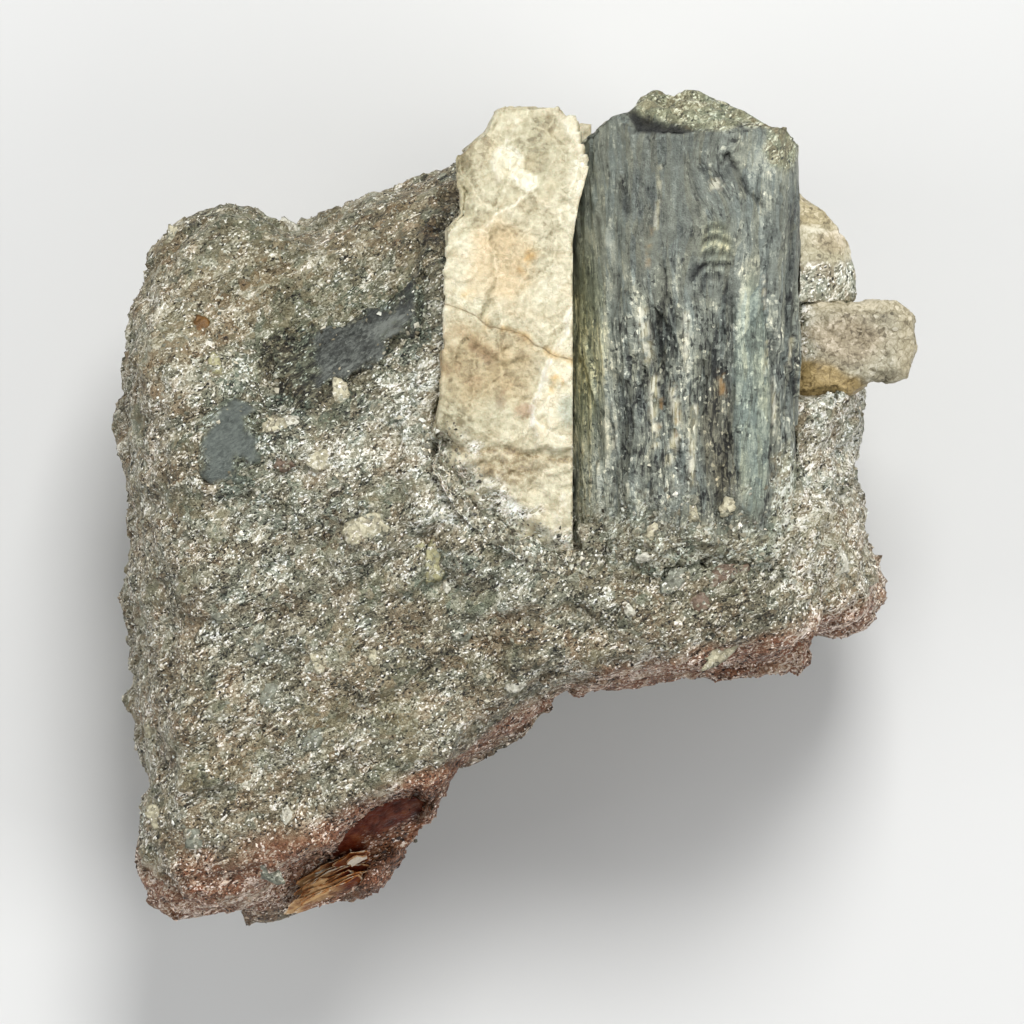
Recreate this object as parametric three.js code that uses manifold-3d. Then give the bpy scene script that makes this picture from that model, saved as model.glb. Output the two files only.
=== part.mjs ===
// An enstatite crystal grown in mica schist, with feldspar and phlogopite around it.
// The specimen lies on its back: +X to its right, +Y to its top, +Z out of its best face.
// Millimetres. The origin is under the middle of the specimen, on the surface it rests on.
import * as THREE from 'three';
import { ConvexGeometry } from 'three/addons/geometries/ConvexGeometry.js';
import { mergeVertices } from 'three/addons/utils/BufferGeometryUtils.js';
import Module from 'manifold-3d';

const wasm = await Module();
wasm.setup();

// Driving dimensions.
const CRYSTAL_LENGTH = 26.4; // along the prism, before its ends are broken
const CRYSTAL_END = 22.6; // the unbroken prism's upper end, in Y
const CRYSTAL_LEAN = THREE.MathUtils.degToRad(6.6); // the broken end leans towards the viewer
const SLAB_FLOOR = 12.5; // the height at which the feldspar slab ends in the schist
const INLAY_FLOOR = 14; // the height at which the small flush crystals end in the schist
const CLEARANCE = 0.32; // between a crystal and its socket, on each side
const CUT_BOX = 90; // larger than the specimen

const SCHIST_STEPS = 120; // round the outline
const HUB = new THREE.Vector2(-1.7, 1.7); // the outline is swept round this point

// The schist's outline, clockwise from its top left corner.
const SCHIST_OUTLINE = [
  [-18.6, 13.1], [-17.6, 14.5], [-16.2, 15.4], [-15.0, 15.9], [-13.4, 15.5], [-12.2, 14.7],
  [-10.9, 14.4], [-9.2, 15.1], [-7.2, 16.4], [-4.4, 17.1], [-2.4, 18.6], [1.0, 18.7],
  [6.0, 19.1], [11.0, 18.6], [13.2, 17.0], [14.0, 14.8], [15.4, 12.6], [16.5, 10.4],
  [17.3, 8.0], [17.8, 5.9], [17.7, 4.6], [17.1, 2.6], [17.3, 0.8], [18.3, -2.6],
  [18.2, -5.1], [16.6, -5.6], [14.8, -5.9], [11.4, -7.2], [8.0, -8.3], [5.2, -8.6],
  [2.3, -8.9], [0.5, -10.3], [-2.7, -12.6], [-3.6, -14.2], [-4.6, -16.2], [-6.4, -17.7],
  [-8.7, -18.9], [-11.2, -20.1], [-14.7, -20.9], [-16.9, -21.2], [-18.6, -19.9], [-19.3, -18.2],
  [-19.0, -14.5], [-19.1, -9.5], [-19.4, -6.2], [-19.9, -3.6], [-19.5, -0.8], [-19.9, 3.0],
  [-19.7, 7.5], [-19.3, 10.8],
];

// From the middle of the back, round the rim, to the middle of the front:
// [how far out to the outline, how high between the back and the front].
const SCHIST_PROFILE = [
  [0, 0], [0.4, 0], [0.7, 0], [0.86, 0.05], [0.95, 0.2], [0.99, 0.38], [1, 0.56],
  [0.985, 0.72], [0.955, 0.85], [0.91, 0.95], [0.84, 1], [0.74, 1], [0.64, 1], [0.54, 1],
  [0.43, 1], [0.32, 1], [0.2, 1], [0.1, 1], [0, 1],
];

// A plane's height over (x, y), from its height at one place and its two slopes.
function slope(x, y, at) {
  return at.z + at.alongX * (x - at.x) + at.alongY * (y - at.y);
}

const BROAD_FACE = { x: -4, y: 4, z: 24, alongX: 0.12, alongY: 0.17 };
const LEFT_FACE = { x: -15.6, y: 0, z: 21.6, alongX: 1.0, alongY: 0.1 };
const RIGHT_FACE = { x: 14.2, y: 0, z: 22.4, alongX: -0.8, alongY: -0.06 };
const UPPER_FACE = { x: -9, y: 11, z: 19.6, alongX: 0.12, alongY: -0.42 };
const UNDER_FACE = { x: -2.7, y: -13.2, z: 20.6, alongX: -0.85, alongY: 2.1 };
const HOLLOW_EDGE = { x: -9.2, y: 5.4, z: 23.4, alongX: 0.9, alongY: -0.95 };
const HOLLOW = { x: -9, y: 8.2, radius: 3.4, depth: 1.7 };
const SWELL = { height: 0.32, across: 10.5, along: 16.3 };

// The height of the schist's front: its fracture faces, and the hollow under the dark blade.
function frontHeight(x, y) {
  const upper = Math.max(slope(x, y, HOLLOW_EDGE), slope(x, y, UPPER_FACE));
  const faces = [BROAD_FACE, LEFT_FACE, RIGHT_FACE, UNDER_FACE].map((face) => slope(x, y, face));
  const away = Math.hypot((x - HOLLOW.x) / 1.7, y - HOLLOW.y) / HOLLOW.radius;
  const hollow = HOLLOW.depth * Math.exp(-away * away);
  const wave = Math.sin((2 * Math.PI * (x + 0.6 * y)) / SWELL.across);
  const swell = SWELL.height * wave * Math.cos((2 * Math.PI * y) / SWELL.along);
  return Math.min(upper, ...faces) - hollow + swell;
}

// three.js geometry to a solid, and back.
function solidOf(geometry) {
  const bare = geometry.clone();
  bare.deleteAttribute('normal');
  bare.deleteAttribute('uv');
  const merged = mergeVertices(bare, 1e-4);
  const corners = merged.index.array;
  const kept = [];
  for (let i = 0; i < corners.length; i += 3) {
    const [a, b, c] = corners.slice(i, i + 3);
    if (a !== b && b !== c && c !== a) kept.push(a, b, c);
  }
  return new wasm.Manifold(new wasm.Mesh({
    numProp: 3,
    vertProperties: new Float32Array(merged.attributes.position.array),
    triVerts: new Uint32Array(kept),
  }));
}

function geometryOf(solid) {
  const mesh = solid.getMesh();
  const geometry = new THREE.BufferGeometry();
  geometry.setAttribute('position', new THREE.BufferAttribute(mesh.vertProperties, 3));
  geometry.setIndex(new THREE.BufferAttribute(mesh.triVerts, 1));
  geometry.computeVertexNormals();
  return geometry;
}

// Breaks off all that lies beyond a plane through a point.
function broken(solid, point, outwards) {
  const box = new THREE.BoxGeometry(CUT_BOX, CUT_BOX, CUT_BOX);
  const normal = new THREE.Vector3(...outwards).normalize();
  box.translate(0, 0, CUT_BOX / 2);
  box.applyQuaternion(new THREE.Quaternion().setFromUnitVectors(new THREE.Vector3(0, 0, 1), normal));
  box.translate(...point);
  return solid.subtract(solidOf(box));
}

// A flat outline raised from one height to another, and grown by a margin on every side.
function raised(outline, low, high, margin) {
  const shape = new THREE.Shape(outline.map(([x, y]) => new THREE.Vector2(x, y)));
  const geometry = new THREE.ExtrudeGeometry(shape, {
    depth: high - low,
    bevelEnabled: margin > 0,
    bevelSize: margin,
    bevelThickness: margin,
    bevelSegments: 1,
  });
  geometry.translate(0, 0, low);
  return geometry;
}

// The lump of schist before any crystal's socket is cut: its outline swept round the hub.
function schistBlank() {
  const rim = SCHIST_OUTLINE.map(([x, y]) => new THREE.Vector3(x, y, 0)).reverse();
  const outline = new THREE.CatmullRomCurve3(rim, true, 'centripetal');
  const profile = SCHIST_PROFILE.map(([reach, level]) => new THREE.Vector2(reach, level));
  const lathe = new THREE.LatheGeometry(profile, SCHIST_STEPS);
  const position = lathe.attributes.position;
  const rings = SCHIST_PROFILE.length;
  for (let step = 0; step <= SCHIST_STEPS; step += 1) {
    const edge = outline.getPointAt((step % SCHIST_STEPS) / SCHIST_STEPS);
    for (let ring = 0; ring < rings; ring += 1) {
      const [reach, level] = SCHIST_PROFILE[ring];
      const x = HUB.x + reach * (edge.x - HUB.x);
      const y = HUB.y + reach * (edge.y - HUB.y);
      position.setXYZ(step * rings + ring, x, y, level * frontHeight(x, y));
    }
  }
  return solidOf(lathe);
}

// The fractures that square off the lump's sides and back, each a point and the way it faces.
const SCHIST_FRACTURES = [
  { at: [-17.8, -6, 5.0], faces: [-0.93, -0.08, -0.34] },
  { at: [-17.0, 8, 7.0], faces: [-0.88, 0.3, -0.36] },
  { at: [-14, -20.4, 5.0], faces: [-0.12, -0.88, -0.45] },
  { at: [-7, 14.6, 5.5], faces: [-0.25, 0.9, -0.35] },
  { at: [8, 17.4, 6.0], faces: [0.18, 0.94, -0.26] },
  { at: [16.4, 4, 5.0], faces: [0.92, 0.1, -0.36] },
  { at: [15.6, -5.2, 3.5], faces: [0.5, -0.6, -0.62] },
];

function schistLump() {
  return SCHIST_FRACTURES.reduce((lump, cut) => broken(lump, cut.at, cut.faces), schistBlank());
}

// The prism's cross-section, [across, out]: two broad faces meet at the left shoulder,
// and the right side turns away.
const PRISM_SECTION = [
  [3.1, 12.6], [2.9, 22.0], [3.5, 23.6], [4.6, 25.1], [5.9, 26.2], [8.2, 26.5], [11.0, 26.5],
  [12.9, 25.8], [13.9, 24.2], [14.25, 20.5], [14.0, 13.4], [9.0, 11.6],
];

// The prism runs along Y. It leans about its middle, so its lower end sinks into the schist.
function prism(margin) {
  const geometry = raised(PRISM_SECTION, 0, CRYSTAL_LENGTH, margin);
  geometry.rotateX(Math.PI / 2);
  geometry.translate(0, CRYSTAL_END, 0);
  const middle = [8.5, CRYSTAL_END - CRYSTAL_LENGTH / 2, 20];
  geometry.translate(...middle.map((v) => -v));
  geometry.rotateX(CRYSTAL_LEAN);
  geometry.translate(...middle);
  return geometry;
}

// The prism's top end is broken back from the front face, at both corners and behind.
// Its lower end tapers away under the schist.
const PRISM_BREAKS = [
  { at: [8, 19.0, 27.2], faces: [0.02, 0.88, 0.46] },
  { at: [4.6, 19.3, 23], faces: [-0.54, 0.84, -0.06] },
  { at: [12.3, 19.6, 23], faces: [0.46, 0.88, -0.06] },
  { at: [14.0, 18.5, 23], faces: [0.9, 0.44, -0.05] },
  { at: [8, 20.5, 20.2], faces: [-0.02, 0.98, -0.2] },
  { at: [8, -2.0, 24.9], faces: [0.06, -0.72, 0.68] },
];

function crystal(margin) {
  return PRISM_BREAKS.reduce((solid, cut) => {
    const [x, y, z] = new THREE.Vector3(...cut.faces).setLength(margin).add(new THREE.Vector3(...cut.at));
    return broken(solid, [x, y, z], cut.faces);
  }, solidOf(prism(margin)));
}

// The cream feldspar slab, with its own upright left wall.
const SLAB_OUTLINE = [
  [-2.7, 17.6], [-1.3, 18.8], [-0.8, 19.8], [-0.2, 20.1], [2.2, 20.1], [2.6, 19.6], [4.1, 19.4],
  [4.4, 17.0], [3.2, 14.0], [3.2, -1.6], [1.6, -2.6], [-0.6, -1.2], [-2.4, 0.2], [-3.9, 2.6],
  [-3.5, 5.7], [-3.4, 10.7], [-3.35, 14.0], [-2.7, 14.8],
];
const SLAB_FRONT = [
  { at: [0, 8, 25.2], faces: [0.05, -0.04, 1] },
  { at: [0, 3.2, 25.0], faces: [-0.02, -0.16, 1] },
  { at: [0, 17.2, 25.1], faces: [-0.06, 0.22, 1] },
];
const SLAB_TOP = 27; // above the cleaved front
const slabBlock = (margin) => raised(SLAB_OUTLINE, SLAB_FLOOR, SLAB_TOP, margin);

function slab() {
  const block = solidOf(slabBlock(0));
  const cleaved = SLAB_FRONT.reduce((solid, cut) => broken(solid, cut.at, cut.faces), block);
  return cleaved.subtract(solidOf(prism(CLEARANCE)));
}

// The tan wedge behind the prism's right side. Its corners move away from its middle to grow it.
const WEDGE_CORNERS = [
  [14.7, 16.0, 19.4], [15.9, 14.3, 19.0], [16.7, 13.4, 18.4], [17.0, 11.3, 17.8], [14.75, 11.2, 20.4],
  [14.75, 15.9, 14.6], [15.7, 14.2, 13.6], [16.5, 13.3, 13.2], [16.8, 11.4, 12.8], [14.75, 11.1, 12.6],
];
const WEDGE_MIDDLE = new THREE.Vector3(15.6, 13.2, 16);

function wedge(margin) {
  const corners = WEDGE_CORNERS.map((corner) => {
    const from = new THREE.Vector3(...corner).sub(WEDGE_MIDDLE);
    const outwards = new THREE.Vector3(...from.toArray().map(Math.sign));
    return from.add(WEDGE_MIDDLE).addScaledVector(outwards, margin);
  });
  return new ConvexGeometry(corners);
}

// The knob that sticks out past the right side, with softened edges.
const KNOB_OUTLINE = [
  [15.2, 9.9], [17.2, 9.8], [18.7, 9.9], [19.2, 9.4], [19.3, 8.2], [19.0, 7.3], [18.5, 7.1],
  [17.6, 7.2], [16.5, 6.5], [15.2, 6.3],
];
const KNOB = { low: 16.8, high: 19.8, edge: 0.62 };
const knob = (margin) => raised(KNOB_OUTLINE, KNOB.low, KNOB.high, KNOB.edge + margin);

// The mica book: thin leaves of different lengths, stacked along the leaves' normal.
const LEAF_OUTLINE = [
  [-3.9, -2.2], [-3.2, 1.2], [-1.6, 2.4], [1.4, 2.6], [3.3, 1.6], [4.1, -0.6], [2.9, -2.6],
  [-1.2, -3.0],
];
const LEAVES = [
  { size: 0.7, thick: 0.9, shift: -0.6 },
  { size: 0.9, thick: 0.7, shift: -1.0 },
  { size: 1, thick: 0.8, shift: -0.4 },
  { size: 0.84, thick: 0.7, shift: 0.1 },
  { size: 0.6, thick: 0.6, shift: 0.7 },
];
const LEAF_OVERLAP = 0.04; // so that neighbouring leaves join
const BOOK_AT = [-8.0, -16.2, 14.0]; // the middle of the book
const BOOK_BACK = -2; // how far behind that its innermost leaf starts
const BOOK_ALONG = new THREE.Vector3(0.9, 0.42, 0.1).normalize();
const BOOK_ACROSS = new THREE.Vector3(-0.33, 0.53, 0.78)
  .cross(BOOK_ALONG)
  .cross(BOOK_ALONG)
  .negate()
  .normalize();
const BOOK_NORMAL = new THREE.Vector3().crossVectors(BOOK_ALONG, BOOK_ACROSS);

function book(margin) {
  const turn = new THREE.Matrix4().makeBasis(BOOK_ALONG, BOOK_ACROSS, BOOK_NORMAL);
  let level = BOOK_BACK;
  let whole = null;
  for (const leaf of LEAVES) {
    const outline = LEAF_OUTLINE.map(([x, y]) => [x * leaf.size + leaf.shift, y * leaf.size]);
    const geometry = raised(outline, level, level + leaf.thick + LEAF_OVERLAP, margin);
    geometry.applyMatrix4(turn);
    geometry.translate(...BOOK_AT);
    whole = whole ? whole.add(solidOf(geometry)) : solidOf(geometry);
    level += leaf.thick;
  }
  return whole;
}

// The two enstatites that are broken off flush with the schist.
const BLADE_OUTLINE = [
  [-12.0, 6.6], [-12.2, 8.2], [-10.7, 9.2], [-8.7, 9.6], [-7.2, 10.4], [-5.4, 11.2], [-4.4, 12.6],
  [-4.0, 13.4], [-3.8, 11.2], [-4.3, 9.4], [-5.7, 7.9], [-7.1, 7.0], [-8.7, 5.7], [-10.2, 5.0],
  [-11.6, 5.3],
];
const GRAIN_OUTLINE = [
  [-15.4, 5.7], [-14.6, 6.4], [-13.5, 6.3], [-12.8, 5.2], [-12.4, 4.2], [-12.7, 3.4], [-12.4, 2.2],
  [-13.2, 1.3], [-14.4, 1.2], [-15.4, 1.9], [-15.8, 3.7],
];
const INLAY_TOP = 30; // above the schist
const inlay = (outline, margin) => solidOf(raised(outline, INLAY_FLOOR, INLAY_TOP, margin));

// The open cleft between the slab and the prism's left face.
const CLEFT_OUTLINE = [[2.4, -0.4], [6.2, -0.4], [6.2, 21.6], [2.4, 21.6]];
const CLEFT_FLOOR = 21.4;
const cleft = () => solidOf(raised(CLEFT_OUTLINE, CLEFT_FLOOR, INLAY_TOP, 0));

// Each mineral's colour and roughness.
const SCHIST = { color: 0x73736a, roughness: 0.75 };
const ENSTATITE = { color: 0x56626a, roughness: 0.45 };
const DARK_ENSTATITE = { color: 0x414a4c, roughness: 0.4 };
const DULL_ENSTATITE = { color: 0x59666a, roughness: 0.5 };
const CREAM_FELDSPAR = { color: 0xddd4b8, roughness: 0.5 };
const TAN_FELDSPAR = { color: 0xc2b391, roughness: 0.55 };
const GREY_FELDSPAR = { color: 0xa39a88, roughness: 0.6 };
const PHLOGOPITE = { color: 0x5b3626, roughness: 0.3 };

const specimen = new THREE.Group();

function addPiece(name, mineral, geometry) {
  const piece = new THREE.Mesh(geometry, new THREE.MeshStandardMaterial({ ...mineral, metalness: 0 }));
  piece.name = name;
  specimen.add(piece);
}

const lump = schistLump();
const sockets = [
  cleft(),
  crystal(CLEARANCE),
  solidOf(slabBlock(CLEARANCE)),
  solidOf(wedge(CLEARANCE)),
  solidOf(knob(CLEARANCE)),
  book(CLEARANCE),
  inlay(BLADE_OUTLINE, CLEARANCE),
  inlay(GRAIN_OUTLINE, CLEARANCE),
];
const schist = sockets.reduce((solid, socket) => solid.subtract(socket), lump);

addPiece('schist_matrix', SCHIST, geometryOf(schist));
addPiece('enstatite_crystal', ENSTATITE, geometryOf(crystal(0)));
addPiece('feldspar_slab', CREAM_FELDSPAR, geometryOf(slab()));
addPiece('feldspar_wedge', TAN_FELDSPAR, wedge(0));
addPiece('feldspar_knob', GREY_FELDSPAR, knob(0));
addPiece('phlogopite_book', PHLOGOPITE, geometryOf(book(0)));
addPiece('enstatite_blade', DARK_ENSTATITE, geometryOf(lump.intersect(inlay(BLADE_OUTLINE, 0))));
addPiece('enstatite_grain', DULL_ENSTATITE, geometryOf(lump.intersect(inlay(GRAIN_OUTLINE, 0))));

export default specimen;
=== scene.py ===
# A hand specimen: an enstatite prism and a feldspar slab standing out of glittering mica schist.
import math

import bmesh
import bpy
import numpy as np
from mathutils import Matrix, Vector, noise
from mathutils.bvhtree import BVHTree


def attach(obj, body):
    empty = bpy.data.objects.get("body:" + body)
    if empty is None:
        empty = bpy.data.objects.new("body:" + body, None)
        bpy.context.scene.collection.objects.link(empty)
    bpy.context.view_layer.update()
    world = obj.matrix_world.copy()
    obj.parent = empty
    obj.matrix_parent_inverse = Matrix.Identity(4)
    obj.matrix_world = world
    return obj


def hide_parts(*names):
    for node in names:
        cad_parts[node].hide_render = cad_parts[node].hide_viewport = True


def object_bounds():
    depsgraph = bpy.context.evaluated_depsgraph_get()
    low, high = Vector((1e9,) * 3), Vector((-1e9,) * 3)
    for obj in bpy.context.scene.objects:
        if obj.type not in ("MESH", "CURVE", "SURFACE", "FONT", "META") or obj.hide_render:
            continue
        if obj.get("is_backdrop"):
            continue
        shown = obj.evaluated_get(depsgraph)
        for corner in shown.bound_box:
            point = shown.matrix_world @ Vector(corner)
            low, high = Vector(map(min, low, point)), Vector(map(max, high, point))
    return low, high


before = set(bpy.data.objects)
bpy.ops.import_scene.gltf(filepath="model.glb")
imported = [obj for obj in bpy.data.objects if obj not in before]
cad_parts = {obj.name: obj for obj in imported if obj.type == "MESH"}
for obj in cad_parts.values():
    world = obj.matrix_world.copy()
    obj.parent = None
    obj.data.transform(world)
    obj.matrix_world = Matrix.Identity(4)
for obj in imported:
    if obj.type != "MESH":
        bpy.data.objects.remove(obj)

cad_low, cad_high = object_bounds()
MM = 0.001


# ---------------------------------------------------------------------------------------------
# The schist: a lump of mica, feldspar and quartz grains, pressed into leaves that rise to the
# right. It was broken out of the rock face, so its sides are ragged along those leaves.

SCHIST_VOXEL = 0.255 * MM
LEAF_RISE = math.radians(33)  # how steeply the leaves rise across the front
LEAF_ALONG = Vector((math.cos(LEAF_RISE), math.sin(LEAF_RISE), 0.05)).normalized()
LEAF_NORMAL = Vector((-math.sin(LEAF_RISE), math.cos(LEAF_RISE), 0.35)).normalized()
LEAF_NORMAL = (LEAF_NORMAL - LEAF_ALONG * LEAF_NORMAL.dot(LEAF_ALONG)).normalized()
TO_LEAVES = Matrix((LEAF_ALONG, LEAF_NORMAL, LEAF_ALONG.cross(LEAF_NORMAL)))
SLAB_FOOT = ((-4.1, 4.6), (-4.0, 2.6), (-2.5, 0.2), (-0.7, -1.2), (1.6, -2.6), (3.2, -2.4))
FRONT_HEIGHT = 20  # about how high the schist's front lies
PRISM_MIDDLE = 8.5  # from left to right
PROUD_NODES = ("enstatite_crystal", "feldspar_slab", "feldspar_wedge", "feldspar_knob", "phlogopite_book")


def node_shape(node):
    """A copy of a CAD node's mesh, with the corners of its loose triangles joined."""
    shape = bmesh.new()
    shape.from_mesh(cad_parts[node].data)
    bmesh.ops.remove_doubles(shape, verts=shape.verts, dist=0.002 * MM)
    return shape


def new_piece(name, shape):
    mesh = bpy.data.meshes.new(name)
    shape.to_mesh(mesh)
    shape.free()
    piece = bpy.data.objects.new(name, mesh)
    bpy.context.scene.collection.objects.link(piece)
    return piece


def settled(piece):
    """Replaces the piece's mesh by what its modifiers make of it."""
    evaluated = piece.evaluated_get(bpy.context.evaluated_depsgraph_get())
    mesh = bpy.data.meshes.new_from_object(evaluated)
    piece.modifiers.clear()
    piece.data = mesh
    return piece


def remeshed(piece, voxel):
    remesh = piece.modifiers.new("Even grid", "REMESH")
    remesh.mode = "VOXEL"
    remesh.voxel_size = voxel
    return settled(piece)


def smoothed(piece, rounds, factor=0.5):
    smooth = piece.modifiers.new("Ease", "SMOOTH")
    smooth.factor = factor
    smooth.iterations = rounds
    return settled(piece)


def points_and_normals(piece):
    """Every point, in millimetres, and which way it faces."""
    mesh = piece.data
    points = np.empty(len(mesh.vertices) * 3)
    normals = np.empty(len(mesh.vertices) * 3)
    mesh.vertices.foreach_get("co", points)
    mesh.vertex_normals.foreach_get("vector", normals)
    return points.reshape(-1, 3) / MM, normals.reshape(-1, 3)


def moved(piece, shift_mm):
    points, _ = points_and_normals(piece)
    piece.data.vertices.foreach_set("co", ((points + shift_mm) * MM).ravel())
    piece.data.update()


def painted(piece, name, values):
    """Keeps one number a point, which the piece's material reads by this name."""
    attribute = piece.data.attributes.get(name) or piece.data.attributes.new(name, "FLOAT", "POINT")
    attribute.data.foreach_set("value", np.asarray(values, dtype=np.float32))


def noise_field(points, swings, seed=0.0, octaves=1):
    """Smooth noise, about -1 to 1, with this many swings a millimetre along each axis."""
    offset = Vector((seed * 7.1, seed * 3.3, seed * 5.7))
    total = np.zeros(len(points))
    for octave in range(octaves):
        finer = 2.0 ** octave
        total += [noise.noise(Vector(p) + offset) / finer for p in points * (np.array(swings) * finer)]
    return total


def scrambled(centres, seed):
    """A number from 0 to 1 for each grain centre, the same for every point of that grain."""
    mixed_up = np.sin(centres @ np.array((12.9898, 78.233, 37.719)) + seed * 17.13) * 43758.5453
    return mixed_up - np.floor(mixed_up)


def facet_field(points, grains, seed, tilt=1.0):
    """Flat facets, one a grain, each at its own height and tilt: a hackly broken surface."""
    offset = np.array((seed * 7.1, seed * 3.3, seed * 5.7))
    scaled = points * np.array(grains) + offset
    centres = np.array([noise.voronoi(Vector(p))[1][0] for p in scaled])
    slopes = np.stack([scrambled(centres, seed + n) - 0.5 for n in (1, 2, 3)], axis=1)
    return scrambled(centres, seed) - 0.5 + tilt * ((scaled - centres) * slopes).sum(axis=1)


def above(values, start, end):
    """0 before start, 1 past end, and smooth between. Either may be the larger."""
    along = np.clip((np.asarray(values) - start) / (end - start), 0, 1)
    return along * along * (3 - 2 * along)


def from_path(x, y, path):
    """How far each point is from a line through the path's corners."""
    nearest = np.full(len(x), 1e9)
    for (x0, y0), (x1, y1) in zip(path, path[1:]):
        dx, dy = x1 - x0, y1 - y0
        along = np.clip(((x - x0) * dx + (y - y0) * dy) / (dx * dx + dy * dy), 0, 1)
        nearest = np.minimum(nearest, np.hypot(x - x0 - along * dx, y - y0 - along * dy))
    return nearest


def depth_inside(x, y, rim):
    """How far each point is inside a closed rim, and less than 0 outside it."""
    inside = np.zeros(len(x), dtype=bool)
    for (x0, y0), (x1, y1) in zip(rim, rim[1:] + rim[:1]):
        crosses = (y0 > y) != (y1 > y)
        if y0 != y1:
            inside ^= crosses & (x < x0 + (y - y0) * (x1 - x0) / (y1 - y0))
    return from_path(x, y, rim + rim[:1]) * np.where(inside, 1, -1)


def blob(x, y, middle, radii, turn=0.0, soft=0.5):
    """1 inside an oval, falling to 0 across its soft edge."""
    c, s = math.cos(math.radians(turn)), math.sin(math.radians(turn))
    u = ((x - middle[0]) * c + (y - middle[1]) * s) / radii[0]
    v = ((y - middle[1]) * c - (x - middle[0]) * s) / radii[1]
    return above(np.hypot(u, v), 1 + soft / 2, 1 - soft / 2)


def ovals(x, y, drift, *table):
    """The sum of ovals, each (strength, middle, radii, turn, soft edge, how it drifts)."""
    total = np.zeros(len(x))
    for strength, middle, radii, turn, soft, (across, up) in table:
        total += strength * blob(x + across * drift, y + up * drift, middle, radii, turn, soft)
    return total


def node_walls(node):
    shape = node_shape(node)
    walls = BVHTree.FromBMesh(shape)
    shape.free()
    return walls


def closed_onto(piece, walls, reach=0.75):
    """Draws the piece's points that are near a crystal up to it, so that no gap is left.

    Over the feet of the slab and of the prism, the piece laps on instead.
    """
    points, _ = points_and_normals(piece)
    x, y, z = points.T
    beside = above(np.abs(x - PRISM_MIDDLE), 4.4, 5.2) * above(y, -4.0, -2.0)
    held = np.maximum(above(y, -2.4, -0.6), beside)
    held *= above(from_path(x, y, SLAB_FOOT), 0.3, 1.3)
    held = np.maximum(held, above(z, FRONT_HEIGHT + 0.5, FRONT_HEIGHT - 0.5))
    shift = np.zeros_like(points)
    for index, point in enumerate(points):
        place, _, _, distance = walls.find_nearest(Vector(point) * MM, (reach + 0.3) * MM)
        if place is None:
            continue
        pull = 1.2 * (1 - max(0.0, min(1.0, (distance / MM - 0.45) / (reach - 0.15))))
        shift[index] = (np.array(place) / MM - point) * pull * held[index]
    moved(piece, shift)


def joined_copy(shape, node, shift):
    """Adds a copy of a CAD node, moved by a shift in millimetres, to a shape."""
    copy = node_shape(node)
    bmesh.ops.translate(copy, verts=copy.verts, vec=Vector(shift) * MM)
    spare = bpy.data.meshes.new("copy")
    copy.to_mesh(spare)
    copy.free()
    shape.from_mesh(spare)
    bpy.data.meshes.remove(spare)


SOCKET_MARGIN = 0.42  # a little more than the sockets' clearance


def schist_lump():
    shape = node_shape("schist_matrix")
    # The sockets are filled to below the crystals that sit in them, out to their walls.
    for node, sink in (
        ("enstatite_crystal", (0, -3.5, -5.5)),
        ("feldspar_slab", (0, -2.5, -6.0)),
        ("enstatite_blade", (0, 0, -0.12)),
        ("enstatite_grain", (0, 0, -0.12)),
    ):
        for step in range(8):
            aside = SOCKET_MARGIN * np.array((math.cos(step * math.pi / 4), math.sin(step * math.pi / 4), 0))
            joined_copy(shape, node, aside + sink)
    # The schist laps over the feet of the prism and the slab, and stands at the right of the mica
    # book and between wedge and knob.
    for place, size in (
        ((8.7, -4.9, 20.7), (6.6, 2.9, 3.7)),
        ((4.4, -3.7, 21.2), (2.4, 2.2, 3.2)),
        ((1.2, -3.6, 21.6), (3.0, 2.2, 2.7)),
        ((-2.3, -1.6, 21.5), (1.9, 2.4, 2.6)),
        ((-4.5, 1.4, 21.6), (1.7, 3.0, 2.5)),
        ((-0.4, 0.9, 19.6), (3.5, 3.5, 3.9)),
        ((-4.2, 3.4, 21.8), (1.3, 1.6, 2.3)),
        ((-4.6, 4.8, 21.2), (1.2, 1.6, 2.2)),
        ((-3.5, 1.7, 21.8), (1.5, 1.5, 2.4)),
        ((-2.5, 0.1, 21.8), (1.5, 1.5, 2.4)),
        ((-1.0, -1.1, 21.8), (1.5, 1.4, 2.4)),
        ((0.6, -2.0, 21.8), (1.5, 1.4, 2.4)),
        ((2.2, -2.6, 21.8), (1.6, 1.4, 2.4)),
        ((3.4, -2.8, 21.6), (1.2, 1.2, 2.5)),
        ((14.1, -2.8, 20.4), (1.3, 1.8, 2.6)),
        ((5.6, -3.1, 21.7), (2.0, 1.5, 2.6)),
        ((8.6, -3.3, 21.8), (2.2, 1.5, 2.6)),
        ((11.6, -3.1, 21.5), (2.2, 1.5, 2.6)),
        ((13.4, -2.4, 21.2), (1.1, 2.0, 2.6)),
        ((-7.3, -17.9, 12.2), (1.0, 1.3, 2.6)),
        ((-6.5, -16.9, 12.0), (1.1, 1.2, 2.3)),
        ((-8.2, -18.7, 11.4), (1.5, 0.8, 2.2)),
        ((15.4, 10.8, 15.6), (1.5, 1.6, 4.0)),
        ((15.3, 5.0, 17.4), (1.6, 1.8, 3.2)),
    ):
        lap = Matrix.LocRotScale(Vector(place) * MM, None, Vector(size) * MM)
        bmesh.ops.create_icosphere(shape, subdivisions=4, radius=1, matrix=lap)
    return smoothed(remeshed(new_piece("schist", shape), SCHIST_VOXEL), 4)


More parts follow.
